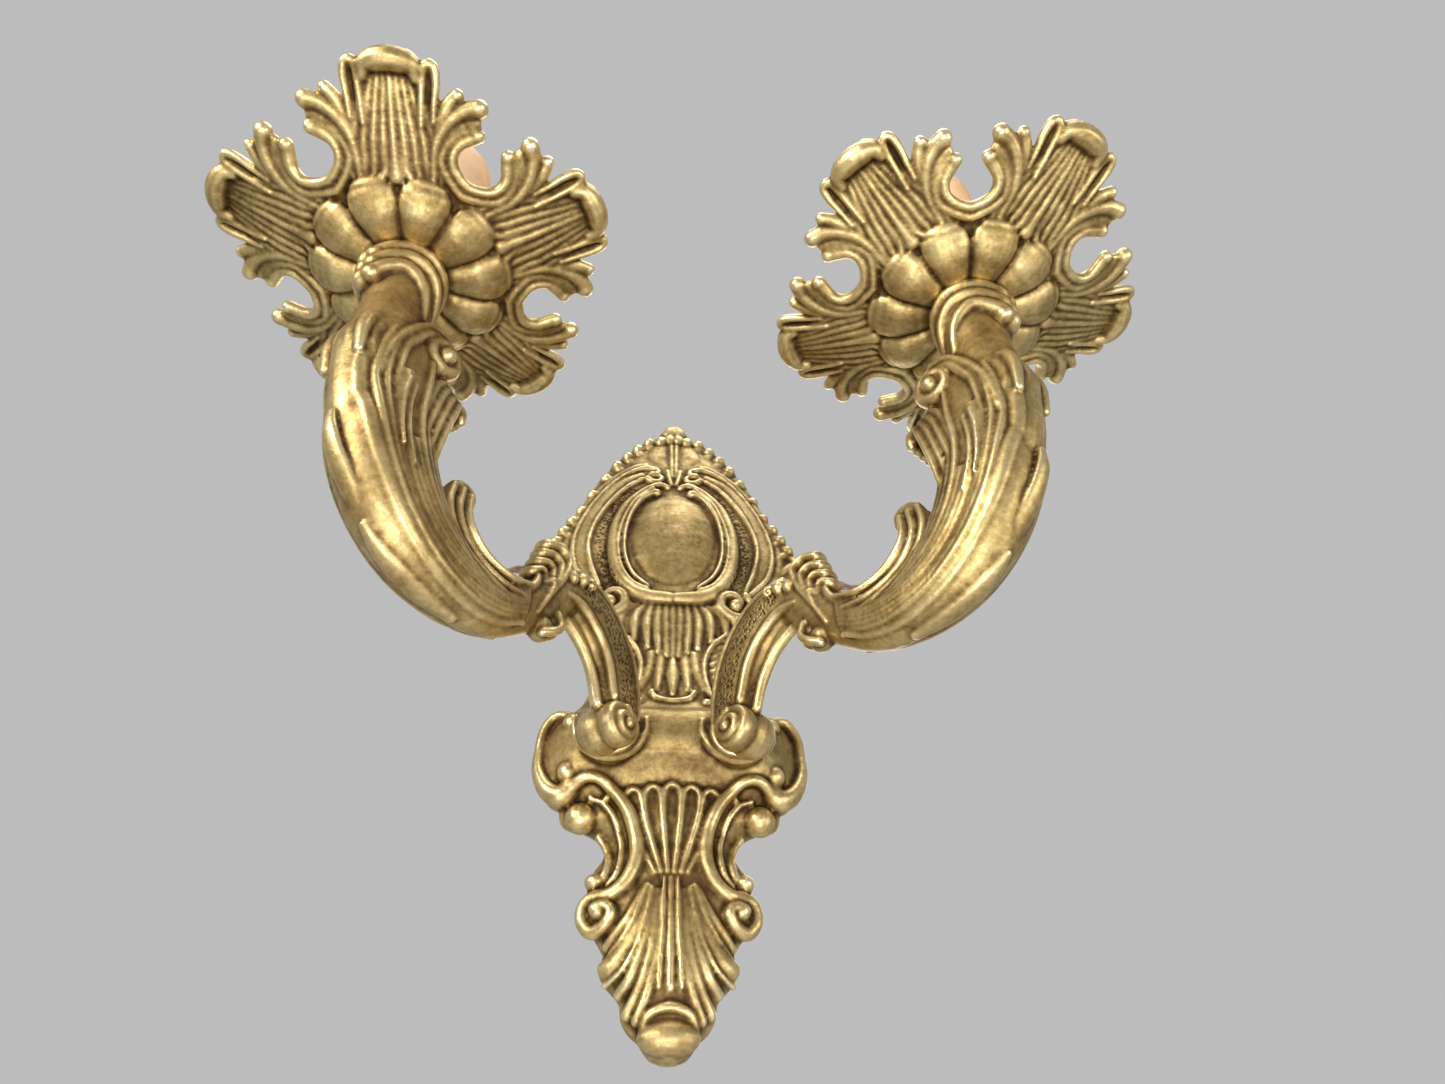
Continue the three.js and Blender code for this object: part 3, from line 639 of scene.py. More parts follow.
def plate_middle(clay):
    """The fan under the medallion, the second leaf tier and the feathered crescents beside it."""
    for k in range(6):
        top = [2.6 * k + 0.005, -46.4 - 0.2 * k]
        mid = [2.3 * k + 0.3 * k * k + 0.005, -57.5 + 0.25 * k * k]
        low = [1.6 * k + 0.48 * k * k + 0.005, -73 + 0.52 * k * k]
        plate_ridge(clay, [top, mid, low], [1.1, 1.8, 1.9, 1.1], [0.8, 1.1, 1.4, 1.3], [-0.3, -0.2, 0.2])
    plate_ridge(clay, [[16, -47.4], [20.6, -49.8], [24.2, -53.6], [25, -57.6]], [1.6, 2.2, 2.0, 1.2],
                [1.2, 1.6, 1.6, 1], 0)
    plate_ridge(clay, [[0.005, -74], [0.005, -82], [0.005, -91]], [1.2, 2.8, 1.2], [1.2, 1.7, 1.4], 0)
    for x, foot, wide in ((4.2, 5.4, 2.0), (7.6, 11.2, 2.0)):
        plate_ridge(clay, [[x, -71], [x + 0.1 * foot, -80], [foot, -89.4 + 0.1 * foot]],
                    [wide * 0.8, wide, wide * 0.6], [1.0, 1.2, 1.2], -0.2)
    plate_ridge(clay, [[-7.6, -90], [-5.6, -93], [0, -94.4], [5.6, -93], [7.6, -90]], 1.0, 1.1, 0.2)
    crescent = [[19.8, -60], [14.6, -66.4], [11.6, -74], [11.4, -82], [12.6, -88.6], [14, -92.6]]
    plate_ridge(clay, crescent, [0.8, 1.1, 1.2, 1.2, 1.2, 1.0], 1.5, 0.1)
    for k in range(8):
        z = -66 - 3.2 * k
        x = 14.2 + 0.4 * abs(k - 3)
        plate_ridge(clay, [[x, z], [x + 3.4, z + 3], [x + 7, z + 2.2]], [1.3, 1.3, 0.9], [0.9, 1.0, 0.6], -0.1)
    for x, z in ((11.8, -94.6), (15.8, -93.8)):
        plate_lump(clay, x, z, (2.0, 1.6, 1.6))


def plate_ears(clay):
    """The C scrolls at the plate's sides, and the round seats that carry the arms."""
    rim = [[33, -104.6], [34.4, -100.6], [39.4, -99.2], [43, -104], [43.9, -112], [43.6, -119.6], [40.4, -126.6],
           [35.6, -129.8], [32.6, -127], [33, -122.6]]
    rim_depth = [11, 10.5, 9, 7.8, 7.4, 7.8, 8.6, 9.6, 10.4, 11]
    for side in (1, -1):
        path = curve_through(rim, 6)
        depths = along(rim_depth, len(path))
        centres = np.array([vec(side * x, -d, z) for (x, z), d in zip(path, depths)])
        normals = np.tile(vec(0, -1, 0), (len(path), 1))
        clay.strand(centres, normals, [2.6, 2.2, 1.9, 1.8, 1.8, 2.1, 2.8, 3.6, 3.6, 3.4],
                    [3.4, 3.0, 2.5, 2.4, 2.4, 2.9, 3.8, 4.4, 4.2, 4.2], sides=16)
        clay.lump(vec(side * 33.4, -12.4, -103.8), (3.6, 3.8, 3.6))
        clay.lump(vec(side * 33.6, -12.4, -122.6), (3.7, 4, 3.7))
        # the seat narrows towards the arm and carries a thin raised rim
        rings = []
        for r, y, lift in ((0.1, 0, 0), (8.6, 0, 0), (9.6, 0, 1.8), (9.9, -4, 1.4), (9.3, -9.4, 0.4), (8.6, -10.2, 0),
                           (0.1, -10.2, 0)):
            phi = np.linspace(0, 2 * math.pi, 32, endpoint=False)
            rings.append(np.stack([side * SEAT_X + r * np.cos(phi), np.full(32, -18.2 + y),
                                   SEAT_Z + 1.2 + lift + r * np.sin(phi)], 1))
        clay.rings(rings)
        ring = [vec(side * (SEAT_X + 11.6 * math.cos(a)), -24.6, SEAT_Z + 4.6 + 11.6 * math.sin(a))
                for a in np.radians(np.linspace(165, 375, 20))]
        clay.strand(np.array(ring), np.tile(vec(0, -1, 0), (20, 1)), [0.8, 1.2, 1.4, 1.4, 1.4, 1.2, 0.8], 1.8)


def plate_foot(clay):
    """The fan of channels, the side scrolls and the palmette down to the tip."""
    tops = [0.005, 6.2, 12.4, 18.4]
    foots = [0.0, 2.0, 4.0, 6.0]
    for k in range(4):
        left_top, left_foot = tops[k] + 3.1, foots[k] + 1.0
        drop = 0.9 * k
        if k < 3:
            plate_ridge(clay, [[left_top, -130.4 - drop], [left_top * 0.8 + left_foot * 0.2, -139],
                               [left_foot, -156]], [1.7, 1.3, 0.7], [1.7, 1.5, 0.9], 0)
        plate_ridge(clay, [[tops[k] - 2.5, -131 - drop], [tops[k] - 2.1, -128.6 - drop], [tops[k], -127.2 - drop],
                           [tops[k] + 2.1, -128.6 - drop], [tops[k] + 2.5, -131 - drop]], 1.1, 1.5)
    outer = [[29, -137], [32.6, -135.4], [33, -131], [31, -127.4], [27, -125.8], [21.8, -127], [16.4, -132],
             [12, -140], [10.4, -149.6], [12.6, -157.4], [17, -161.8], [22.4, -162.8]]
    plate_ridge(clay, outer, [3.2, 2.8, 2.3, 2.0, 2.0, 2.0, 2.2, 2.4, 2.5, 2.4, 2.2, 1.9],
                [3.6, 3.2, 2.8, 2.5, 2.4, 2.5, 2.6, 2.6, 2.6, 2.5, 2.4, 2.3], 0.4)
    plate_lump(clay, 28.6, -136, (5.4, 5.4, 4.9), 0.4)
    plate_ridge(clay, [[25.6, -130.6], [21.4, -133], [17.2, -139], [15, -147], [16, -155], [18.6, -159]],
                1.1, 1.6, 0.1)
    plate_ridge(clay, [[22.4, -141], [19.8, -145.6], [18.8, -151], [20, -156]], 1.4, 1.6, 0.1)
    plate_lump(clay, 23, -157, (3.2, 3.4, 2.7), 0.6)
    curl = [[17.4, -162.6], [21.6, -162], [25, -163.8], [25.8, -168], [23.4, -171.4], [19.4, -171.2], [17.4, -168],
            [19.4, -165.6], [21.8, -166.4]]
    plate_ridge(clay, curl, [1.8, 2.1, 2.3, 2.4, 2.4, 2.2, 1.9, 1.9, 2.4], [2, 2.3, 2.7, 2.9, 2.9, 2.6, 2.4, 2.4, 3.1],
                [0.2, 0.3, 0.4, 0.4, 0.5, 0.7, 0.8, 1.0, 1.1])
    plate_lump(clay, 21.4, -167, (2.6, 3.2, 2.6), 0.8)
    # palmette: broad lobes with thin raised edges between them
    broad = [
        ([[7.4, -160], [12.4, -170], [17.8, -176.4]], 1.8), ([[6, -161], [9.6, -173], [15, -180.6], [18.6, -183.4]], 3.0),
        ([[4.9, -162], [7, -176], [10.8, -186], [14, -189.6]], 1.7),
        ([[3.9, -162], [5.2, -178], [8, -188.6], [11.6, -195.4]], 1.8),
        ([[2.9, -163], [3.8, -180], [6.2, -191], [9, -197.6]], 1.5),
        ([[0.01, -158], [0.01, -176], [0.01, -190]], 1.5),
    ]
    for points, wide in broad:
        plate_ridge(clay, points, [0.9, wide * 0.85, wide, wide], [1.0, 1.6, 1.9, 1.9], -0.1)
    thin = [
        [[6.9, -160], [11, -171.4], [17, -179.6]], [[5.6, -161], [8.4, -175], [13, -184], [18.6, -187.2]],
        [[2, -158], [2.4, -176], [3.2, -190]],
    ]
    for points in thin:
        plate_ridge(clay, points, [0.6, 0.8, 0.8], [1.0, 1.7, 1.6], 0.3)
    # the round tongue of the tip, with a small lip turned up at its root
    clay.lump(vec(0, -7.4, -201.8), (9.0, 5.0, 5.0), steps=32)
    plate_ridge(clay, [[-7.6, -201], [-5.6, -196.6], [0, -194.8], [5.6, -196.6], [7.6, -201]],
                [1.0, 1.5, 1.7, 1.5, 1.0], [1.5, 2.0, 2.2, 2.0, 1.5], 0)


# ---------------------------------------------------------------- pans
LOBES = 5
PAN_TURN = {"left": -1, "right": 26}
PAN_LOW = -15.0
DISH = [[0, -15], [12, -15], [15, -15.2], [22, -14.2], [28.5, -11], [33, -9.4], [40, -7.4], [50, -4], [58, -0.8],
        [62, 0.8], [65, 2]]
PAN_WALL = 2.3


def dish(radius):
    table = np.array(DISH, float)
    return float(np.interp(radius, table[:, 0], table[:, 1]))


def lobe_point(sideways, outward, lobe, lift=0.0):
    """A point under the pan: sideways from the lobe's middle line, outward along it. Lift is downwards."""
    angle = 2 * math.pi * lobe / LOBES + math.atan2(sideways, outward)
    radius = math.hypot(sideways, outward)
    slope = (dish(radius + 1) - dish(radius - 1)) / 2
    away = vec(math.sin(angle), -math.cos(angle), 0)
    normal = unit(away * slope - vec(0, 0, 1))
    return away * radius + vec(0, 0, dish(radius)) + normal * lift, normal


def pan_ridge(clay, lobe, points, half_width, half_height, lift=0.0, mirror=True, per_span=6):
    """A ridge under the pan along [sideways, outward] points, and its mirror image on the lobe."""
    path = curve_through(points, per_span)
    for side in ((1, -1) if mirror else (1,)):
        made = [lobe_point(side * a, r, lobe, up) for (a, r), up in zip(path, along(lift, len(path)))]
        clay.strand(np.array([p for p, _ in made]), np.array([n for _, n in made]), half_width, half_height)


LEAF_WIDTH = [[26, 15.5], [30, 16.4], [34, 15.8], [38, 14.6], [42, 14], [46, 13.4], [50, 11.6], [54, 10.6],
              [58, 9.8], [61, 8.4], [63, 5.5]]


def pan_leaf(clay, lobe):
    """The thin plain leaf of one lobe."""
    table = np.array(LEAF_WIDTH, float)
    rings = []
    for r in np.linspace(26, 63, 30):
        half = float(np.interp(r, table[:, 0], table[:, 1]))
        low = [lobe_point(a, r, lobe, 0)[0] for a in np.linspace(-half, half, 17)]
        high = [lobe_point(a, r, lobe, -PAN_WALL)[0] for a in np.linspace(half, -half, 17)]
        rings.append(np.array(low + high))
    clay.rings(rings)


def pan_lobe(clay, lobe):
    pan_leaf(clay, lobe)
    for k in range(1, 5):
        near, mid, far = 1.4 + 2.9 * k, 0.1 + 2.85 * k, 1.7 * k - 0.1
        pan_ridge(clay, lobe, [[near, 29.8 - 0.5 * k], [mid + 0.3, 34], [mid, 40], [(mid + far) / 2, 49], [far, 57.4]],
                  [0.8, 1.5, 1.5, 1.3, 0.9], [0.7, 1.4, 1.5, 1.4, 1.0], -0.2)
    pan_ridge(clay, lobe, [[0, 30], [0, 38], [0, 49], [0, 58]], [2.6, 1.5, 1.3, 1.0], [1.8, 1.7, 1.4, 1.0],
              mirror=False)
    pan_ridge(clay, lobe, [[5.2, 28.6], [2.8, 32.6], [1.9, 38], [1.6, 44]], [1.6, 1.1, 0.7, 0.4], [1.5, 1.3, 1.0, 0.5])
    # the rolled tip: a swollen hood that turns down and back over the ridges' ends
    pan_ridge(clay, lobe, [[-7.4, 56], [-6.4, 58.6], [-3.6, 59.9], [0, 60.3], [3.6, 59.9], [6.4, 58.6], [7.4, 56]],
              [1.6, 2.8, 3.6, 3.8, 3.6, 2.8, 1.6], [1.6, 2.8, 3.8, 4.2, 3.8, 2.8, 1.6], 0.7, mirror=False)
    # two folded loops beside the tip
    pan_ridge(clay, lobe, [[8.2, 44], [8.6, 50], [9.0, 55.6], [9.6, 58.4], [11.0, 59.5], [12.6, 58.4], [12.9, 54.6],
                           [12.2, 50], [11.6, 45]], [0.9, 1.1, 1.3, 1.5, 1.7, 1.5, 1.3, 1.1, 0.8], 1.7, 0.2)
    pan_ridge(clay, lobe, [[10, 43], [10.6, 50], [11, 57.6]], [1.8, 2.4, 1.8], 1.1, -0.9)
    # the small pointed tip
    pan_ridge(clay, lobe, [[12.2, 40], [13.8, 45.4], [16.2, 49.6], [18.4, 51.8]], [1.6, 2.2, 2.3, 2.0],
              [1.3, 1.8, 2.0, 2.0], 0)
    pan_bead(clay, lobe, 18.6, 52.0, (2.1, 2.1, 2.1), 0.2)
    # the big curled finger and the thinner ones between it and the gap
    pan_ridge(clay, lobe, [[10.6, 29], [11.4, 37], [13.2, 41.8], [16.8, 46], [21, 48.2], [24.2, 48.6]],
              [1.0, 1.5, 1.9, 2.3, 2.6, 2.8], [1.2, 1.6, 1.9, 2.3, 2.5, 2.9], [0, 0, 0, 0, 0.1, 0.4])
    pan_bead(clay, lobe, 24.6, 48.6, (2.9, 2.9, 2.9), 0.5)
    pan_ridge(clay, lobe, [[12.8, 29.6], [13.2, 36.5], [15, 40.6], [18.4, 43.4], [22, 44.8], [23.8, 45]],
              [0.9, 1.4, 1.7, 1.8, 1.8, 1.6], [1.0, 1.3, 1.4, 1.5, 1.5, 1.5], 0.0)
    pan_ridge(clay, lobe, [[15, 38], [18.4, 42], [21.8, 44.6]], [1.6, 2.8, 2.2], 1.1, -0.9)
    # the double rim round the gap, carried on into the next lobe
    bottom = math.radians(180 / LOBES)
    for shift, wide, high in ((0, 1.7, 2.1), (3.0, 1.5, 1.6)):
        radius = 34.2 - shift
        foot = [radius * math.sin(bottom), radius * math.cos(bottom)]
        pan_ridge(clay, lobe, [foot, [18 - shift * 0.75, 30 - shift * 0.5 + 0.3], [16.6 - shift, 33], [16.4 - shift, 36],
                               [18 - shift * 0.8, 38.8 + shift * 0.3], [20.8 - shift * 0.4, 40.4 + shift * 0.6],
                               [23.6 - shift * 0.3, 41.4 + shift * 0.6]],
                  [wide, wide, wide, wide, wide * 1.1, wide * 1.3, wide * 1.3], high, 0.0)
    pan_bead(clay, lobe, 24, 41.6, (2.3, 2.3, 2.3), 0.2)
    pan_ridge(clay, lobe, [[17.6, 24.2], [15.6, 27.4], [13.6, 31]], [2.6, 2.8, 1.8], 1.1, -1.1)
    pan_gadroons(clay, lobe)


def pan_bead(clay, lobe, sideways, outward, radii, lift):
    """A round end on one of a lobe's fingers, on both sides of the lobe's middle."""
    for side in ((1, -1) if sideways else (1,)):
        centre, normal = lobe_point(side * sideways, outward, lobe, lift)
        clay.lump(centre, radii)


def pan_gadroons(clay, lobe):
    """The bowl's two swollen petals that start each lobe."""
    turn = math.tan(math.radians(180 / LOBES / 2))
    for side in (1, -1):
        path = curve_through([[side * turn * r, r] for r in (11, 14, 17, 20, 23, 25.8, 27.6)], 4)
        made = [lobe_point(a, r, lobe, 0.1) for a, r in path]
        clay.strand(np.array([p for p, _ in made]), np.array([n for _, n in made]),
                    [3.8, 4.9, 5.9, 6.9, 7.7, 7.5, 6.0], [2.2, 3.1, 3.8, 4.1, 4.0, 3.4, 2.6], sides=20)


def build_pan(name):
    clay = Clay()
    bowl = [[5.35, -15], [12, -14.6], [15, -14.2], [22, -12.8], [28.5, -10.6], [31, -10], [31, -7.8], [28, -8.2],
            [21.5, -10.6], [15, -12], [5.35, -12.6]]
    clay.lathe(bowl, vec(0, 0, 0))
    for lobe in range(LOBES):
        pan_lobe(clay, lobe)
    return cast(clay, name, 0.52)


# ---------------------------------------------------------------- arms
BODY = [
    [22, -83, 5, 5], [31, -91, 7.5, 6.3], [43, -104.5, 7.6, 6.3], [57, -115.5, 7.6, 6.8],
    [71, -116.5, 9.1, 7.8], [84, -110, 11.1, 8.6], [95.5, -98.5, 13.1, 9.6], [103.5, -84, 15.6, 10],
    [106.5, -67, 17, 10.6], [108, -55, 15.6, 10.2], [109.5, -48, 12, 9],
]
STEM = [
    [-3, -118, 7.6, 5.2], [-2, -110, 8.6, 5.2], [0.5, -101, 9.6, 5.2], [6, -92, 10, 5.2],
    [14, -86, 9.6, 5.6], [24, -85, 8.6, 5.6], [32, -91, 7.2, 5.2],
]
INNER_LEAF = [[62, -111, 5, 5], [70, -105.5, 5.6, 5.6], [76, -98, 5.6, 5.2], [77.5, -91, 4.6, 4.2], [75, -87, 3, 3.2]]
NECK = [[10.4, -57], [10.2, -48], [10, -40], [10.6, -32], [11.6, -26], [12.3, -21.5], [11.6, -18], [11.4, -15.6]]
ACROSS = vec(RUN[1], -RUN[0])


def arm_point(out, across, z):
    x, y = FOOT + RUN * out + ACROSS * across
    return vec(x, y, z)


def arm_vector(out, across, z):
    x, y = RUN * out + ACROSS * across
    return vec(x, y, z)


class Limb:
    """A tapering oval bar in the arm's upright plane, and places on its two faces."""

    def __init__(self, stations, per_span=16):
        self.dense = curve_through(stations, per_span)
        tangents = np.gradient(self.dense[:, :2], axis=0)
        self.tangents = tangents / np.linalg.norm(tangents, axis=1)[:, None]
        self.outer = np.stack([self.tangents[:, 1], -self.tangents[:, 0]], 1)

    def solid(self, clay, sides=32):
        rings = []
        for (o, z, wide, thick), (no, nz) in list(zip(self.dense, self.outer))[::3]:
            ring = []
            for phi in np.linspace(0, 2 * math.pi, sides, endpoint=False):
                c, s = math.cos(phi), math.sin(phi)
                ring.append(arm_point(o + no * wide * c, thick * s, z + nz * wide * c))
            rings.append(np.array(ring))
        clay.rings(rings)

    def face(self, out, z, side, lift=0.0):
        """The point of a face level with a place in the arm's plane, and the way out of it."""
        offsets = vec(out, z) - self.dense[:, :2]
        i = int(np.argmin((offsets**2).sum(1)))
        _, _, wide, thick = self.dense[i]
        q = float(np.clip(offsets[i] @ self.outer[i] / wide, -1, 1))
        depth = thick * math.sqrt(1 - q * q)
        no, nz = self.outer[i]
        normal = unit(arm_vector(no * q / wide, side * math.sqrt(1 - q * q) / thick, nz * q / wide))
        return arm_point(out, side * depth, z) + normal * lift, normal

    def ridge(self, clay, points, half_width, half_height, lift=0.0, faces=(1, -1), per_span=7):
        path = curve_through(points, per_span)
        for side in faces:
            made = [self.face(o, z, side, up) for (o, z), up in zip(path, along(lift, len(path)))]
            clay.strand(np.array([p for p, _ in made]), np.array([n for _, n in made]), half_width, half_height)


def plane_strand(clay, points, half_width, half_height, per_span=7, sides=14):
    """A strand in space along [out, across, z] points, its height across the arm's plane."""
    path = curve_through(points, per_span)
    centres = np.array([arm_point(*p) for p in path])
    normals = np.tile(arm_vector(0, 1, 0), (len(path), 1))
    clay.strand(centres, normals, half_width, half_height, sides)


OUTER_EDGE = [[119.6, -55], [121.4, -66], [119.8, -78.5], [115.2, -90.5], [108.6, -101.6], [100, -111.4],
              [90.6, -118.4], [80.4, -122.8], [68, -124.2], [56.6, -121.8], [47, -116.6]]
INNER_EDGE = [[92, -58], [90.4, -68], [90.6, -80], [88.6, -90], [84.6, -98.2], [79, -104.2], [73.4, -107.2],
              [67, -108.8], [60, -108.2], [53, -105], [46.6, -99.6]]


def between_edges(share, first=0, last=11):
    """A line down the arm's face, share of the way from its outer edge to its inner edge."""
    return [[o + (i - o) * share, p + (q - p) * share]
            for (o, p), (i, q) in list(zip(OUTER_EDGE, INNER_EDGE))[first:last]]


OUTER_LEAF = [
    [112, -56, 5, 7.6], [112, -66, 6.4, 8.8], [111, -78, 7.2, 9.6], [108.6, -91, 7.8, 9.9], [102.8, -103, 8, 9.5],
    [93.8, -112.4, 7.6, 8.9], [82, -118.4, 6.8, 8.1], [68, -120, 5.4, 7.2], [56, -117.6, 4, 6],
]


def outermost(limbs, out, z, side, lift):
    """The point of whichever limb's face stands further out sideways, and the way out of it."""
    made = [limb.face(out, z, side, lift) for limb in limbs]
    return max(made, key=lambda place: side * (place[0][:2] @ ACROSS))


def arm_body(clay):
    body = Limb(BODY)
    outer_leaf = Limb(OUTER_LEAF)
    body.solid(clay)
    outer_leaf.solid(clay)
    # flutes run the whole length: a broad smooth one along the outer edge, then narrower ones
    flutes = [(0.05, 0, 11, 2.2, 1.2, -0.3), (0.18, 0, 11, 1.3, 1.4, 0), (0.27, 0, 11, 1.1, 1.4, 0.2),
              (0.36, 0, 11, 1.3, 1.6, 0.1), (0.45, 2, 11, 1.1, 1.4, 0.2), (0.53, 3, 11, 1.2, 1.5, 0.2),
              (0.61, 3, 11, 1.0, 1.4, 0.3), (0.70, 0, 11, 1.4, 1.7, 0.2), (0.79, 1, 11, 1.1, 1.5, 0.3),
              (0.87, 1, 10, 1.1, 1.5, 0.3), (0.95, 1, 9, 1.3, 1.5, 0.2)]
    for share, first, last, wide, high, lift in flutes:
        path = curve_through(between_edges(share, first, last), 7)
        for side in (1, -1):
            made = [outermost((body, outer_leaf), out, z, side, lift) for out, z in path]
            clay.strand(np.array([p for p, _ in made]), np.array([n for _, n in made]),
                        [wide * 0.8, wide, wide, wide, wide * 0.75, wide * 0.45],
                        [high * 0.7, high, high, high, high * 0.85, high * 0.5])
    # the tongue-shaped leaf in the middle of the face
    body.ridge(clay, [[107.4, -72], [107.4, -80], [105.6, -89], [102.4, -97], [98, -103]], [2.2, 2.6, 2.3, 1.6, 0.8],
               [2.2, 2.3, 2.0, 1.5, 0.8], 0.4)
    body.ridge(clay, [[107.4, -74], [107.2, -81], [105.4, -89], [102.4, -96]], [0.9, 0.8, 0.7, 0.5], 0.8, 2.3)
    body.ridge(clay, [[104.6, -74], [104.2, -82], [101.8, -91], [97.6, -99]], [1.0, 0.9, 0.8, 0.5], 1.4, 0.8)
    # slim overlapping leaf edges along the outer silhouette
    for points in ([[118.2, -91.4], [116.6, -97.8], [112.2, -104.6], [106.2, -110.8], [100, -115.8]],
                   [[100, -117.6], [94.2, -121.2], [87, -124], [78, -125.6], [67, -125.8]]):
        plane_strand(clay, [[o, 0, z] for o, z in points], [0.9, 1.5, 1.5, 1.3, 0.8], [1.4, 2.6, 3.2, 3, 1.8])
    # the top corner of the outer leaf, rolled out in small folds
    plane_strand(clay, [[113, 0, -78], [117.4, 0.5, -67], [117, 0.8, -57]], [5.4, 6, 5], [8.4, 8.2, 6.8])
    for across in (-6.6, -2.2, 2.2, 6.6):
        plane_strand(clay, [[121, across, -72], [122, across, -63], [120.6, across * 0.9, -56], [117, across * 0.8, -53]],
                     [1.2, 2.0, 2.2, 2.0], [1.6, 2.3, 2.4, 2.2])
    # the inner leaf with its rolled tip
    plane_strand(clay, [[97, 0, -90], [93.4, 0, -77], [90.8, 0.5, -66.6], [88, 0.6, -60]], [4.2, 4.2, 3.6, 2.6],
                 [8.4, 8.8, 7.8, 6])
    for across in (-5.6, -2, 2, 5.6):
        plane_strand(clay, [[91.8, across * 1.2, -78], [90, across * 1.2, -68], [87, across, -61.4], [83.8, across * 0.9, -59.4],
                            [82.6, across * 0.8, -62.2]], [1.2, 1.7, 2.0, 2.0, 1.6], [1.6, 2.0, 2.2, 2.0, 1.6])
    for side in (1, -1):
        for shift in (0, 2.8, 5.6, 8.4):
            plane_strand(clay, [[91 + shift, side * 8.6, -94 + shift * 0.6], [90.4 + shift, side * 9.2, -79],
                                [88.6 + shift, side * 8.8, -67 + shift * 0.3], [86.8 + shift * 0.8, side * 7, -60.4 + shift * 0.4]],
                         [0.8, 1.3, 1.4, 1.2], [1.0, 1.7, 1.8, 1.6])


def arm_inner_curl(clay):
    leaf = Limb(INNER_LEAF)
    leaf.solid(clay)
    for across in (-4, 0, 4):
        plane_strand(clay, [[80.6, across, -96], [80.2, across, -89.6], [76.8, across * 0.9, -85.2],
                            [72.6, across * 0.8, -85.4], [71.8, across * 0.7, -88.6]],
                     [1.4, 1.9, 2.2, 2.1, 1.7], [1.8, 2.2, 2.3, 2.1, 1.6])
    for points in ([[80.4, -88], [81, -95], [78.2, -102], [71.6, -107.6], [62, -111.6], [52, -112]],
                   [[77, -87.4], [77.2, -95.6], [74, -102], [67.6, -106.6], [58, -109.4], [49, -107.6]],
                   [[73.8, -87.6], [73.4, -95], [69.6, -100.2], [63.2, -103.6], [54.6, -105], [47, -101.6]]):
        leaf_side = [[o, z] for o, z in points]
        for side in (1, -1):
            plane_strand(clay, [[o, side * (5.4 if k < 4 else 6.6), z] for k, (o, z) in enumerate(leaf_side)],
                         [1.3, 1.5, 1.5, 1.4, 1.2, 0.8], [1.4, 1.9, 2.0, 1.9, 1.6, 1.0])
    lower = Limb(BODY)
    lower.ridge(clay, [[70, -110.6], [60, -110.6], [51, -106.4], [44.6, -99.6], [41, -92]], [1.2, 1.6, 1.6, 1.5, 1.2],
                1.6, 0)
    lower.ridge(clay, [[66, -107.6], [57, -106.4], [49.6, -101.6], [45, -95]], [1.0, 1.3, 1.3, 1.2], 1.3, 0)


def spiral(centre_out, centre_z, start_radius, end_radius, start_angle, turns, across_start, across_end, count=30):
    """[out, across, z] points of a snail curl in a plane parallel to the arm's."""
    points = []
    for t in np.linspace(0, 1, count):
        angle = math.radians(start_angle + 360 * turns * t)
        radius = start_radius + (end_radius - start_radius) * t**0.8
        points.append([centre_out + radius * math.cos(angle), across_start + (across_end - across_start) * t,
                       centre_z + radius * math.sin(angle)])
    return points


def arm_top_scroll(clay):
    """The snail curl on the inner side, under the pan."""
    plane_strand(clay, [[113, 0, -66], [111.6, 0, -56], [107, 0, -49], [101.6, 0, -46], [98, 0, -48]],
                 [5.8, 6.4, 6.4, 6.4, 6], [9.4, 9.6, 9.4, 9, 8])
    clay.lump(arm_point(98.4, 0, -49.4), (8.2, 8.2, 8.2))
    plane_strand(clay, [[104, 0, -68], [102, 0, -58], [100, 0, -50]], [7.6, 7.6, 6], [8.6, 8.4, 7])
    for side in (1, -1):
        plane_strand(clay, spiral(98.2, -49.6, 8.0, 1.3, 95, 1.3, side * 6.8, side * 10.4), [2.2, 2.2, 2.2, 2.8],
                     [2.8, 2.8, 2.8, 2.8], per_span=2)
        for shift in (0, 3.2):
            plane_strand(clay, [[114.6 - shift, side * 8.8, -76], [114.4 - shift, side * 9.4, -65],
                                [110.6 - shift * 0.6, side * 9.8, -53.6 - shift * 0.8],
                                [104.6, side * 9.6, -44.6 - shift], [98.4, side * 8.4, -41 - shift]],
                         [1.0, 1.5, 1.7, 1.7, 1.6], [1.2, 1.7, 2.0, 2.2, 2.0])


def arm_junction(clay):
    """The leaf at the shoulder, its beads, and the twin knob below."""
    for k in range(4):
        root = [42 - 1.4 * k, -108 + 3 * k]
        rise = [38.4 - 0.4 * k, -99 + 2.2 * k]
        crest = [30.4 + 3 * k, -78.4 - 4.2 * k]
        tip = [39 + 1.5 * k, -76.4 - 5 * k]
        middle = [33 + 2.2 * k, -88 - 2.4 * k]
        top = [(crest[0] + tip[0]) / 2 - 0.8, max(crest[1], tip[1]) + 1.6]
        for across in (1, ):
            plane_strand(clay, [[root[0], across, root[1]], [rise[0], across, rise[1]], [middle[0], across, middle[1]],
                                [crest[0], across, crest[1]], [top[0], across, top[1]], [tip[0], across, tip[1]]],
                         [1.4, 1.9, 2.0, 1.9, 1.9, 2.1], [5.6, 6.6, 6.2 - 0.4 * k, 5.4 - 0.4 * k, 4.4, 3.6])
    stem = Limb(STEM)
    for o, z in ((29, -85), (24.8, -83), (20.6, -82)):
        for side in (1, -1):
            centre, _ = stem.face(o, z, side, 0.5)
            clay.lump(centre, (2.2, 2.2, 2.6))
    clay.lump(arm_point(36.4, 1.6, -108.8), (4.0, 4.6, 3.8))
    clay.lump(arm_point(32.4, 0.6, -105), (3.8, 4.4, 4.0))
    plane_strand(clay, [[38, 4.4, -112.4], [34.6, 5.6, -110.4], [31.4, 5, -106.4], [32.4, 4.4, -102]], 1.4, 1.5)


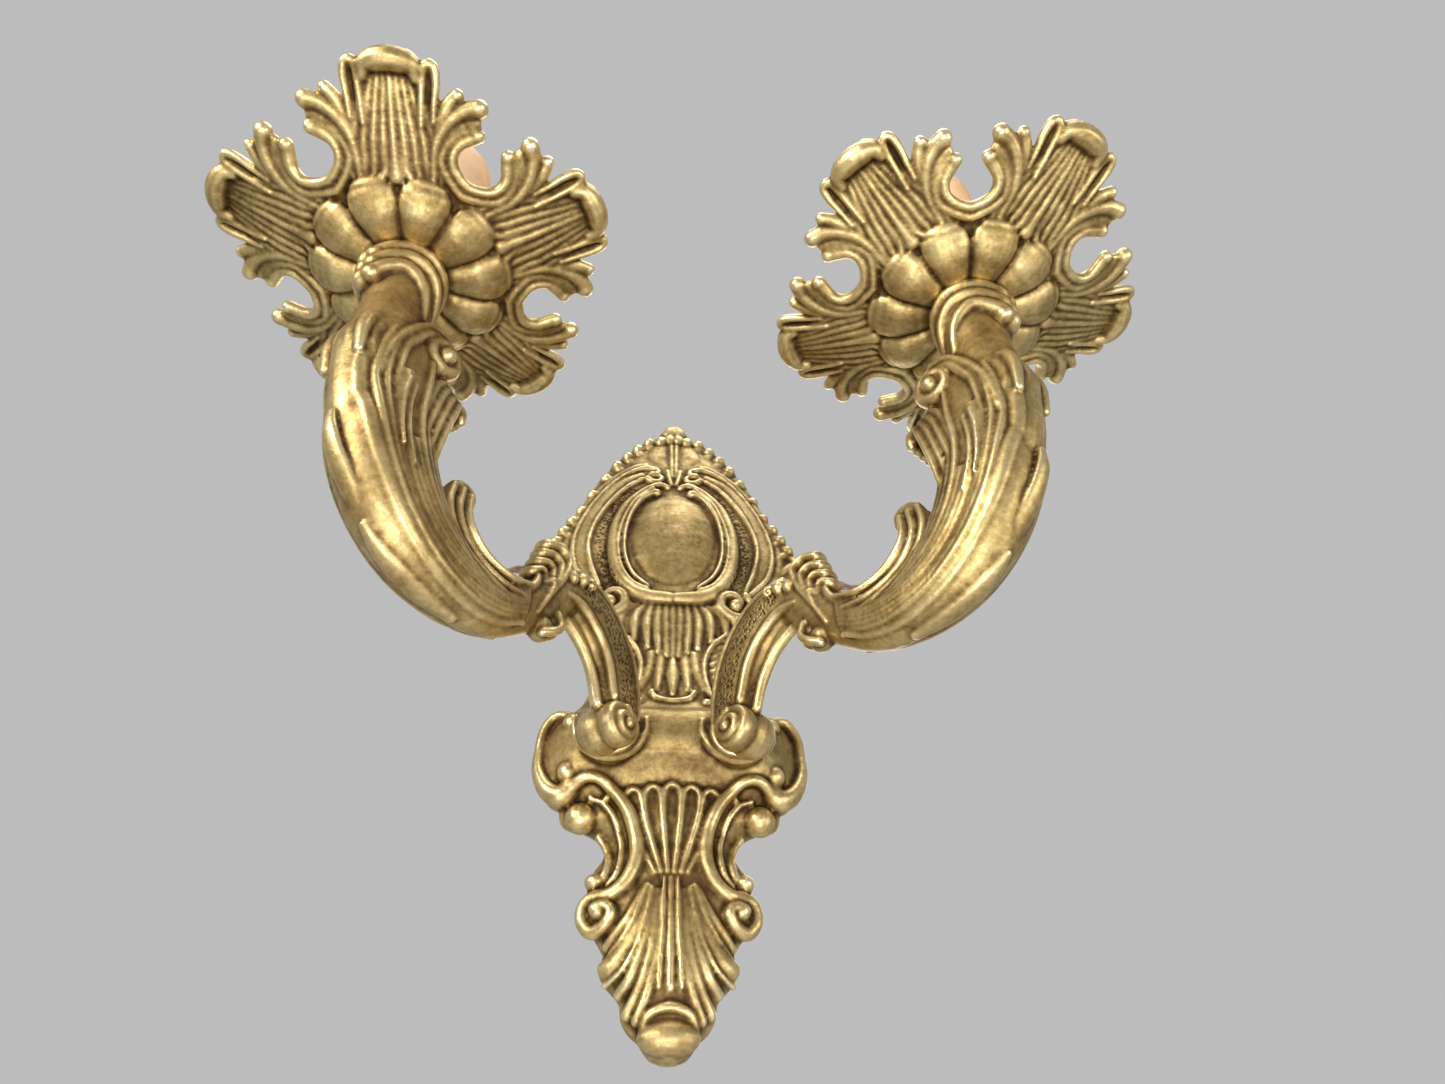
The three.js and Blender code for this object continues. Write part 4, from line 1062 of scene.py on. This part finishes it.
def arm_stem(clay):
    """The S-shaped stem from the shoulder down to the rolled volute."""
    stem = Limb(STEM)
    stem.solid(clay)
    stem.ridge(clay, [[33, -98], [25, -96.4], [16.8, -100.4], [10.4, -108], [6.6, -117]], [1.4, 2.0, 2.0, 1.9, 1.6],
               1.8, -0.1)
    stem.ridge(clay, [[31, -92.6], [22, -90.6], [13, -95], [7, -103], [3.2, -114]], [1.2, 1.7, 1.7, 1.7, 1.5], 1.7, 0.1)
    stem.ridge(clay, [[25, -78], [12, -78.4], [2, -84.4], [-4.4, -94], [-8, -105.6], [-9.4, -115]],
               [1.0, 1.3, 1.3, 1.3, 1.2, 1.0], 1.5, 0)
    # volute: [radius, distance across], from the narrow outer end to the spiral's face
    middle = VOLUTE_Z + 3
    roll = [[0.1, -10.4], [4.2, -10.4], [4.9, -9.8], [5.2, -8.6], [6.6, -7.4], [7.4, -5.6], [7.5, -3], [7.1, -1.0],
            [6.6, 0], [7.0, 1.2], [7.3, 3.0], [7.0, 4.8], [6.3, 5.8], [4.8, 6.0], [0.1, 6.0]]
    rings = []
    for r, a in roll:
        phi = np.linspace(0, 2 * math.pi, 48, endpoint=False)
        rings.append(np.array([arm_point(r * math.cos(p), a, middle + r * math.sin(p)) for p in phi]))
    clay.rings(rings)
    plane_strand(clay, spiral(0, middle, 5.9, 0.9, 100, 1.35, 5.6, 7.0), [1.4, 1.4, 1.3, 1.8],
                 [1.2, 1.3, 1.3, 1.5], per_span=2)
    plane_strand(clay, spiral(0, middle, 3.6, 0.9, 100, 1.2, -10.2, -10.6), [1.0, 1.0, 0.9, 1.2],
                 [0.8, 0.9, 0.9, 1.0], per_span=2)
    clay.strand(np.array([arm_point(0, 0, middle), vec(SEAT_X, -24, SEAT_Z + 2)]),
                np.tile(vec(0, 0, 1), (2, 1)), 6.0, 6.0, sides=24)


def arm_neck(clay):
    """The short column under the pan with its curled leaf cap."""
    centre = vec(*PAN_AXIS, 0)
    loop = NECK + [[5.4, -15.6], [5.4, -30], [0.2, -34], [0.2, -57]]
    clay.lathe(loop, centre, 64)

    def around(points, half_width, half_height):
        path = curve_through(points, 7)
        centres, normals = [], []
        for angle, radius, z in path:
            a = math.radians(angle)
            away = arm_vector(math.cos(a), math.sin(a), 0)
            centres.append(centre + away * radius + vec(0, 0, z))
            normals.append(away)
        clay.strand(np.array(centres), np.array(normals), half_width, half_height)

    # chunky folds that start in knuckles at the outer side and sweep round and down
    for side in (1, -1):
        for drop, reach in ((0, 168), (4.6, 146), (9.4, 116)):
            radius = 12.4 - 0.08 * drop
            around([[side * 5, radius + 0.8, -23 - drop], [side * 36, radius, -19.4 - drop],
                    [side * reach * 0.52, radius - 0.4, -18.6 - drop], [side * reach * 0.8, radius - 1.0, -23 - drop * 1.1],
                    [side * reach, radius - 2.2, -32 - drop * 1.2]],
                   [2.6, 2.4, 2.2, 1.9, 1.2], [3.0, 2.4, 2.1, 1.8, 1.2])
            a = math.radians(side * 9)
            away = arm_vector(math.cos(a), math.sin(a), 0)
            clay.lump(centre + away * (radius + 0.8) + vec(0, 0, -23.4 - drop), (3.0, 3.0, 2.5))


STIPPLED_BAND = [[20, -84], [9.4, -87.6], [3, -94.4], [-1.2, -103], [-3.6, -114]]


def punched_arm(co, normals):
    """The stippled band down the stem's front and back faces."""
    out = (co[:, :2] - FOOT) @ RUN
    path = curve_through(STIPPLED_BAND, 10)
    gap = np.full(len(co), 1e9)
    for o, z in path:
        gap = np.minimum(gap, np.hypot(out - o, co[:, 2] - z))
    return np.clip((4.2 - gap) / 0.8, 0, 1) * (np.abs(normals[:, :2] @ ACROSS) > 0.3)


def build_arm():
    clay = Clay()
    arm_body(clay)
    arm_inner_curl(clay)
    arm_top_scroll(clay)
    arm_junction(clay)
    arm_stem(clay)
    arm_neck(clay)
    return cast(clay, "arm_right_cast", 0.5, punched_arm)


# ---------------------------------------------------------------- candle parts and wiring
def lathe_piece(name, profile, centre, steps=96, wobble=None):
    clay = Clay()
    clay.lathe(profile, centre, steps, wobble)
    piece = mesh_object(name, np.vstack(clay.points), clay.faces)
    return piece


NIPPLE_HOLE = 5.3
HOLDER_FLOOR = 10
RIBS = 30
THREAD_PITCH = 2.8


def candle_parts(label, side):
    axis = vec(side * PAN_AXIS[0], PAN_AXIS[1], 0)
    low, high = box_mm(f"candle_sleeve_{label}")
    outer = (high[0] - low[0]) / 2
    inner = outer - 1.5
    bottom, top = low[2], high[2]
    profile = [[inner, bottom + 0.4], [inner + 0.4, bottom], [outer - 0.4, bottom], [outer, bottom + 0.4]]
    profile += [[outer, z] for z in np.linspace(bottom + 4, top - 4, 9)]
    profile += [[outer, top - 0.5], [outer - 0.25, top - 0.12], [outer - 0.7, top], [inner + 0.3, top - 0.1],
                [inner, top - 0.6]]
    profile += [[inner, z] for z in np.linspace(top - 5, bottom + 5, 6)]
    finish_piece(lathe_piece(f"candle_sleeve_{label}_card", profile, axis), f"candle_sleeve_{label}")

    # lampholder: grip ribs low down, grooves near the top
    low, high = box_mm(f"lampholder_{label}")
    radius = (high[0] - low[0]) / 2
    bottom, top = low[2], high[2]
    shell_low, shell_high = box_mm(f"screw_shell_{label}")
    shell_radius = (shell_high[0] - shell_low[0]) / 2
    cavity = shell_radius + 0.4
    profile = [[NIPPLE_HOLE, bottom], [radius - 2, bottom], [radius - 0.6, bottom + 0.9], [radius - 0.3, bottom + 3]]
    profile += [[radius - 0.3, z] for z in np.linspace(bottom + 3.5, top - 14, 30)]
    for groove in (top - 12, top - 8, top - 4):
        profile += [[radius, groove - 1], [radius - 0.8, groove - 0.6], [radius - 0.8, groove + 0.6], [radius, groove + 1]]
    profile += [[radius, top - 1.2], [radius - 0.4, top - 0.4], [radius - 1.2, top], [cavity, top]]
    profile += [[cavity, HOLDER_FLOOR], [0.2, HOLDER_FLOOR], [0.2, HOLDER_FLOOR - 3], [NIPPLE_HOLE, HOLDER_FLOOR - 3]]

    def ribs(phi, section):
        ribbed = (section[:, 0] > radius - 0.5) & (section[:, 1] > bottom + 4) & (section[:, 1] < bottom + 20)
        return np.where(ribbed, 0.28 * math.cos(RIBS * phi), 0)

    holder = lathe_piece(f"lampholder_{label}_ribbed", profile, axis, 240, ribs)
    finish_piece(holder, f"lampholder_{label}")

    # screw shell: a thin tube rolled with a round thread
    heights = np.arange(shell_low[2], shell_high[2], 0.4)
    profile = [[shell_radius - 0.35, z] for z in heights] + [[shell_radius - 0.8, z] for z in heights[::-1]]

    def thread(phi, section):
        return 0.32 * np.cos(2 * math.pi * section[:, 1] / THREAD_PITCH - phi)

    finish_piece(lathe_piece(f"screw_shell_{label}_threaded", profile, axis, 96, thread), f"screw_shell_{label}")


FLEX_RADIUS = 1.9


def flex_route(side):
    """The twin flex's middle line: the same points as its CAD solid's."""
    arm_points = [[111.2, 0, 1], [111.2, 0, -16], [111.2, 0, -34], [108, -3, -46], [99, -9, -56], [87, -10.5, -67],
                  [75, -10, -80], [62, -9.5, -90], [52, -10, -94]]
    wall_points = [[60.5, -64, -85], [58.5, -44, -65], [57, -24, -45], [54.5, -8, -31], [48, -2.7, -27.5],
                   [38, -2.6, -32], [25, -3.4, -45], [17, -4.2, -54], [10.9, -4.4, -56]]
    points = [arm_point(*p) for p in arm_points] + [vec(*p) for p in wall_points]
    return np.array([[side * x, y, z] for x, y, z in points])


def flex_piece(label, side):
    path = curve_through(flex_route(side), 14)
    lengths = np.concatenate([[0], np.cumsum(np.linalg.norm(np.diff(path, axis=0), axis=1))])
    even = np.linspace(0, lengths[-1], 260)
    path = np.stack([np.interp(even, lengths, path[:, i]) for i in range(3)], 1)
    tangents = np.gradient(path, axis=0)
    up = vec(0, 1, 0.2)
    clay = Clay()
    frames = []
    for t in tangents:
        t = unit(t)
        up = unit(up - t * (up @ t))
        frames.append((up, np.cross(t, up)))
    for half_turn in (0, math.pi):
        centres = []
        for p, (a, b), s in zip(path, frames, even):
            phi = half_turn + 2 * math.pi * s / 95
            centres.append(p + 0.92 * (math.cos(phi) * a + math.sin(phi) * b))
        clay.strand(np.array(centres), np.array([a for a, _ in frames]), 0.93, 0.93, sides=12)
    piece = mesh_object(f"flex_{label}_twin", np.vstack(clay.points), clay.faces)
    finish_piece(piece, f"flex_{label}")


# ---------------------------------------------------------------- making and placing the pieces
def copy_moved(piece, name, move):
    """A copy of a mesh with every point moved by a 4x4 matrix."""
    mesh = piece.data.copy()
    mesh.transform(move)
    if move.determinant() < 0:
        mesh.flip_normals()
    made = bpy.data.objects.new(name, mesh)
    bpy.context.scene.collection.objects.link(made)
    return made


plate_clay = Clay()
plate_base(plate_clay)
plate_top(plate_clay)
plate_middle(plate_clay)
plate_ears(plate_clay)
plate_foot(plate_clay)
finish_piece(cast(plate_clay, "back_plate_cast", 0.55, punched_plate, wall=-0.35), "back_plate")

arm = build_arm()
mirror = Matrix.Scale(-1, 4, (1, 0, 0))
finish_piece(copy_moved(arm, "arm_left_cast", mirror), "arm_left")
finish_piece(arm, "arm_right")

pan = build_pan("pan_master")
for label, side in SIDES.items():
    place = Matrix.Translation(Vector((side * PAN_AXIS[0], PAN_AXIS[1], 0)) * MM)
    turn = Matrix.Rotation(math.radians(PAN_TURN[label]), 4, "Z")
    finish_piece(copy_moved(pan, f"pan_{label}_cast", place @ turn), f"pan_{label}")
    candle_parts(label, side)
    flex_piece(label, side)
bpy.data.objects.remove(pan)

# ---------------------------------------------------------------- stage, lights and camera
FLOOR_Z = -0.9
centre = (CAD_BOX[0] + CAD_BOX[1]) / 2


def build_floor():
    floor_half = 9.0
    mesh = bpy.data.meshes.new("floor")
    corners = [(-floor_half, -floor_half, FLOOR_Z), (floor_half, -floor_half, FLOOR_Z),
               (floor_half, floor_half, FLOOR_Z), (-floor_half, floor_half, FLOOR_Z)]
    mesh.from_pydata(corners, [], [(0, 1, 2, 3)])
    floor = bpy.data.objects.new("floor", mesh)
    bpy.context.scene.collection.objects.link(floor)
    material, tree, shader = new_material("pale_floor")
    shader.inputs["Base Color"].default_value = (0.78, 0.77, 0.75, 1)
    shader.inputs["Roughness"].default_value = 0.7
    mesh.materials.append(material)


def add_light(name, place, size, power, colour=(1, 1, 1)):
    data = bpy.data.lights.new(name, "AREA")
    data.shape = "DISK"
    data.size = size
    data.energy = power
    data.color = colour
    light = bpy.data.objects.new(name, data)
    light.location = centre + Vector(place)
    light.rotation_mode = "QUATERNION"
    light.rotation_quaternion = (-Vector(place)).to_track_quat("-Z", "Y")
    bpy.context.scene.collection.objects.link(light)


def build_lights():
    add_light("key", (-0.75, -0.75, 0.15), 0.5, 10, (1.0, 0.97, 0.92))
    add_light("fill", (0.8, -0.7, -0.35), 0.7, 4.5, (1.0, 0.98, 0.95))
    add_light("below", (-0.1, -0.5, -0.55), 0.5, 3.5)
    add_light("top", (0.1, -0.3, 1.0), 0.8, 5)
    add_light("back", (0.2, 0.9, 0.5), 0.8, 4)
    world = bpy.data.worlds.new("studio")
    bpy.context.scene.world = world
    world.use_nodes = True
    background = world.node_tree.nodes["Background"]
    background.inputs["Color"].default_value = (0.90, 0.90, 0.90, 1)
    background.inputs["Strength"].default_value = 0.56


def build_camera():
    """The photograph's view: close, from below and a little to the left."""
    data = bpy.data.cameras.new("camera")
    data.sensor_width = 36.0
    data.lens = 24.91
    data.clip_start = 0.01
    camera = bpy.data.objects.new("camera", data)
    pitch, yaw, roll = math.radians(45.15), math.radians(4.86), math.radians(2.53)
    forward = Vector((0, math.cos(pitch), math.sin(pitch)))
    up = Vector((0, -math.sin(pitch), math.cos(pitch)))
    right = Vector((1, 0, 0))
    turned = math.cos(yaw) * forward + math.sin(yaw) * right
    right = math.cos(yaw) * right - math.sin(yaw) * forward
    rolled_right = math.cos(roll) * right + math.sin(roll) * up
    rolled_up = math.cos(roll) * up - math.sin(roll) * right
    matrix = Matrix((rolled_right, rolled_up, -turned)).transposed().to_4x4()
    matrix.translation = Vector((-14.5, -296.2, -299.2)) * MM
    camera.matrix_world = matrix
    bpy.context.scene.collection.objects.link(camera)
    bpy.context.scene.camera = camera


build_floor()
build_lights()
build_camera()

scene = bpy.context.scene
scene.view_settings.view_transform = "Standard"
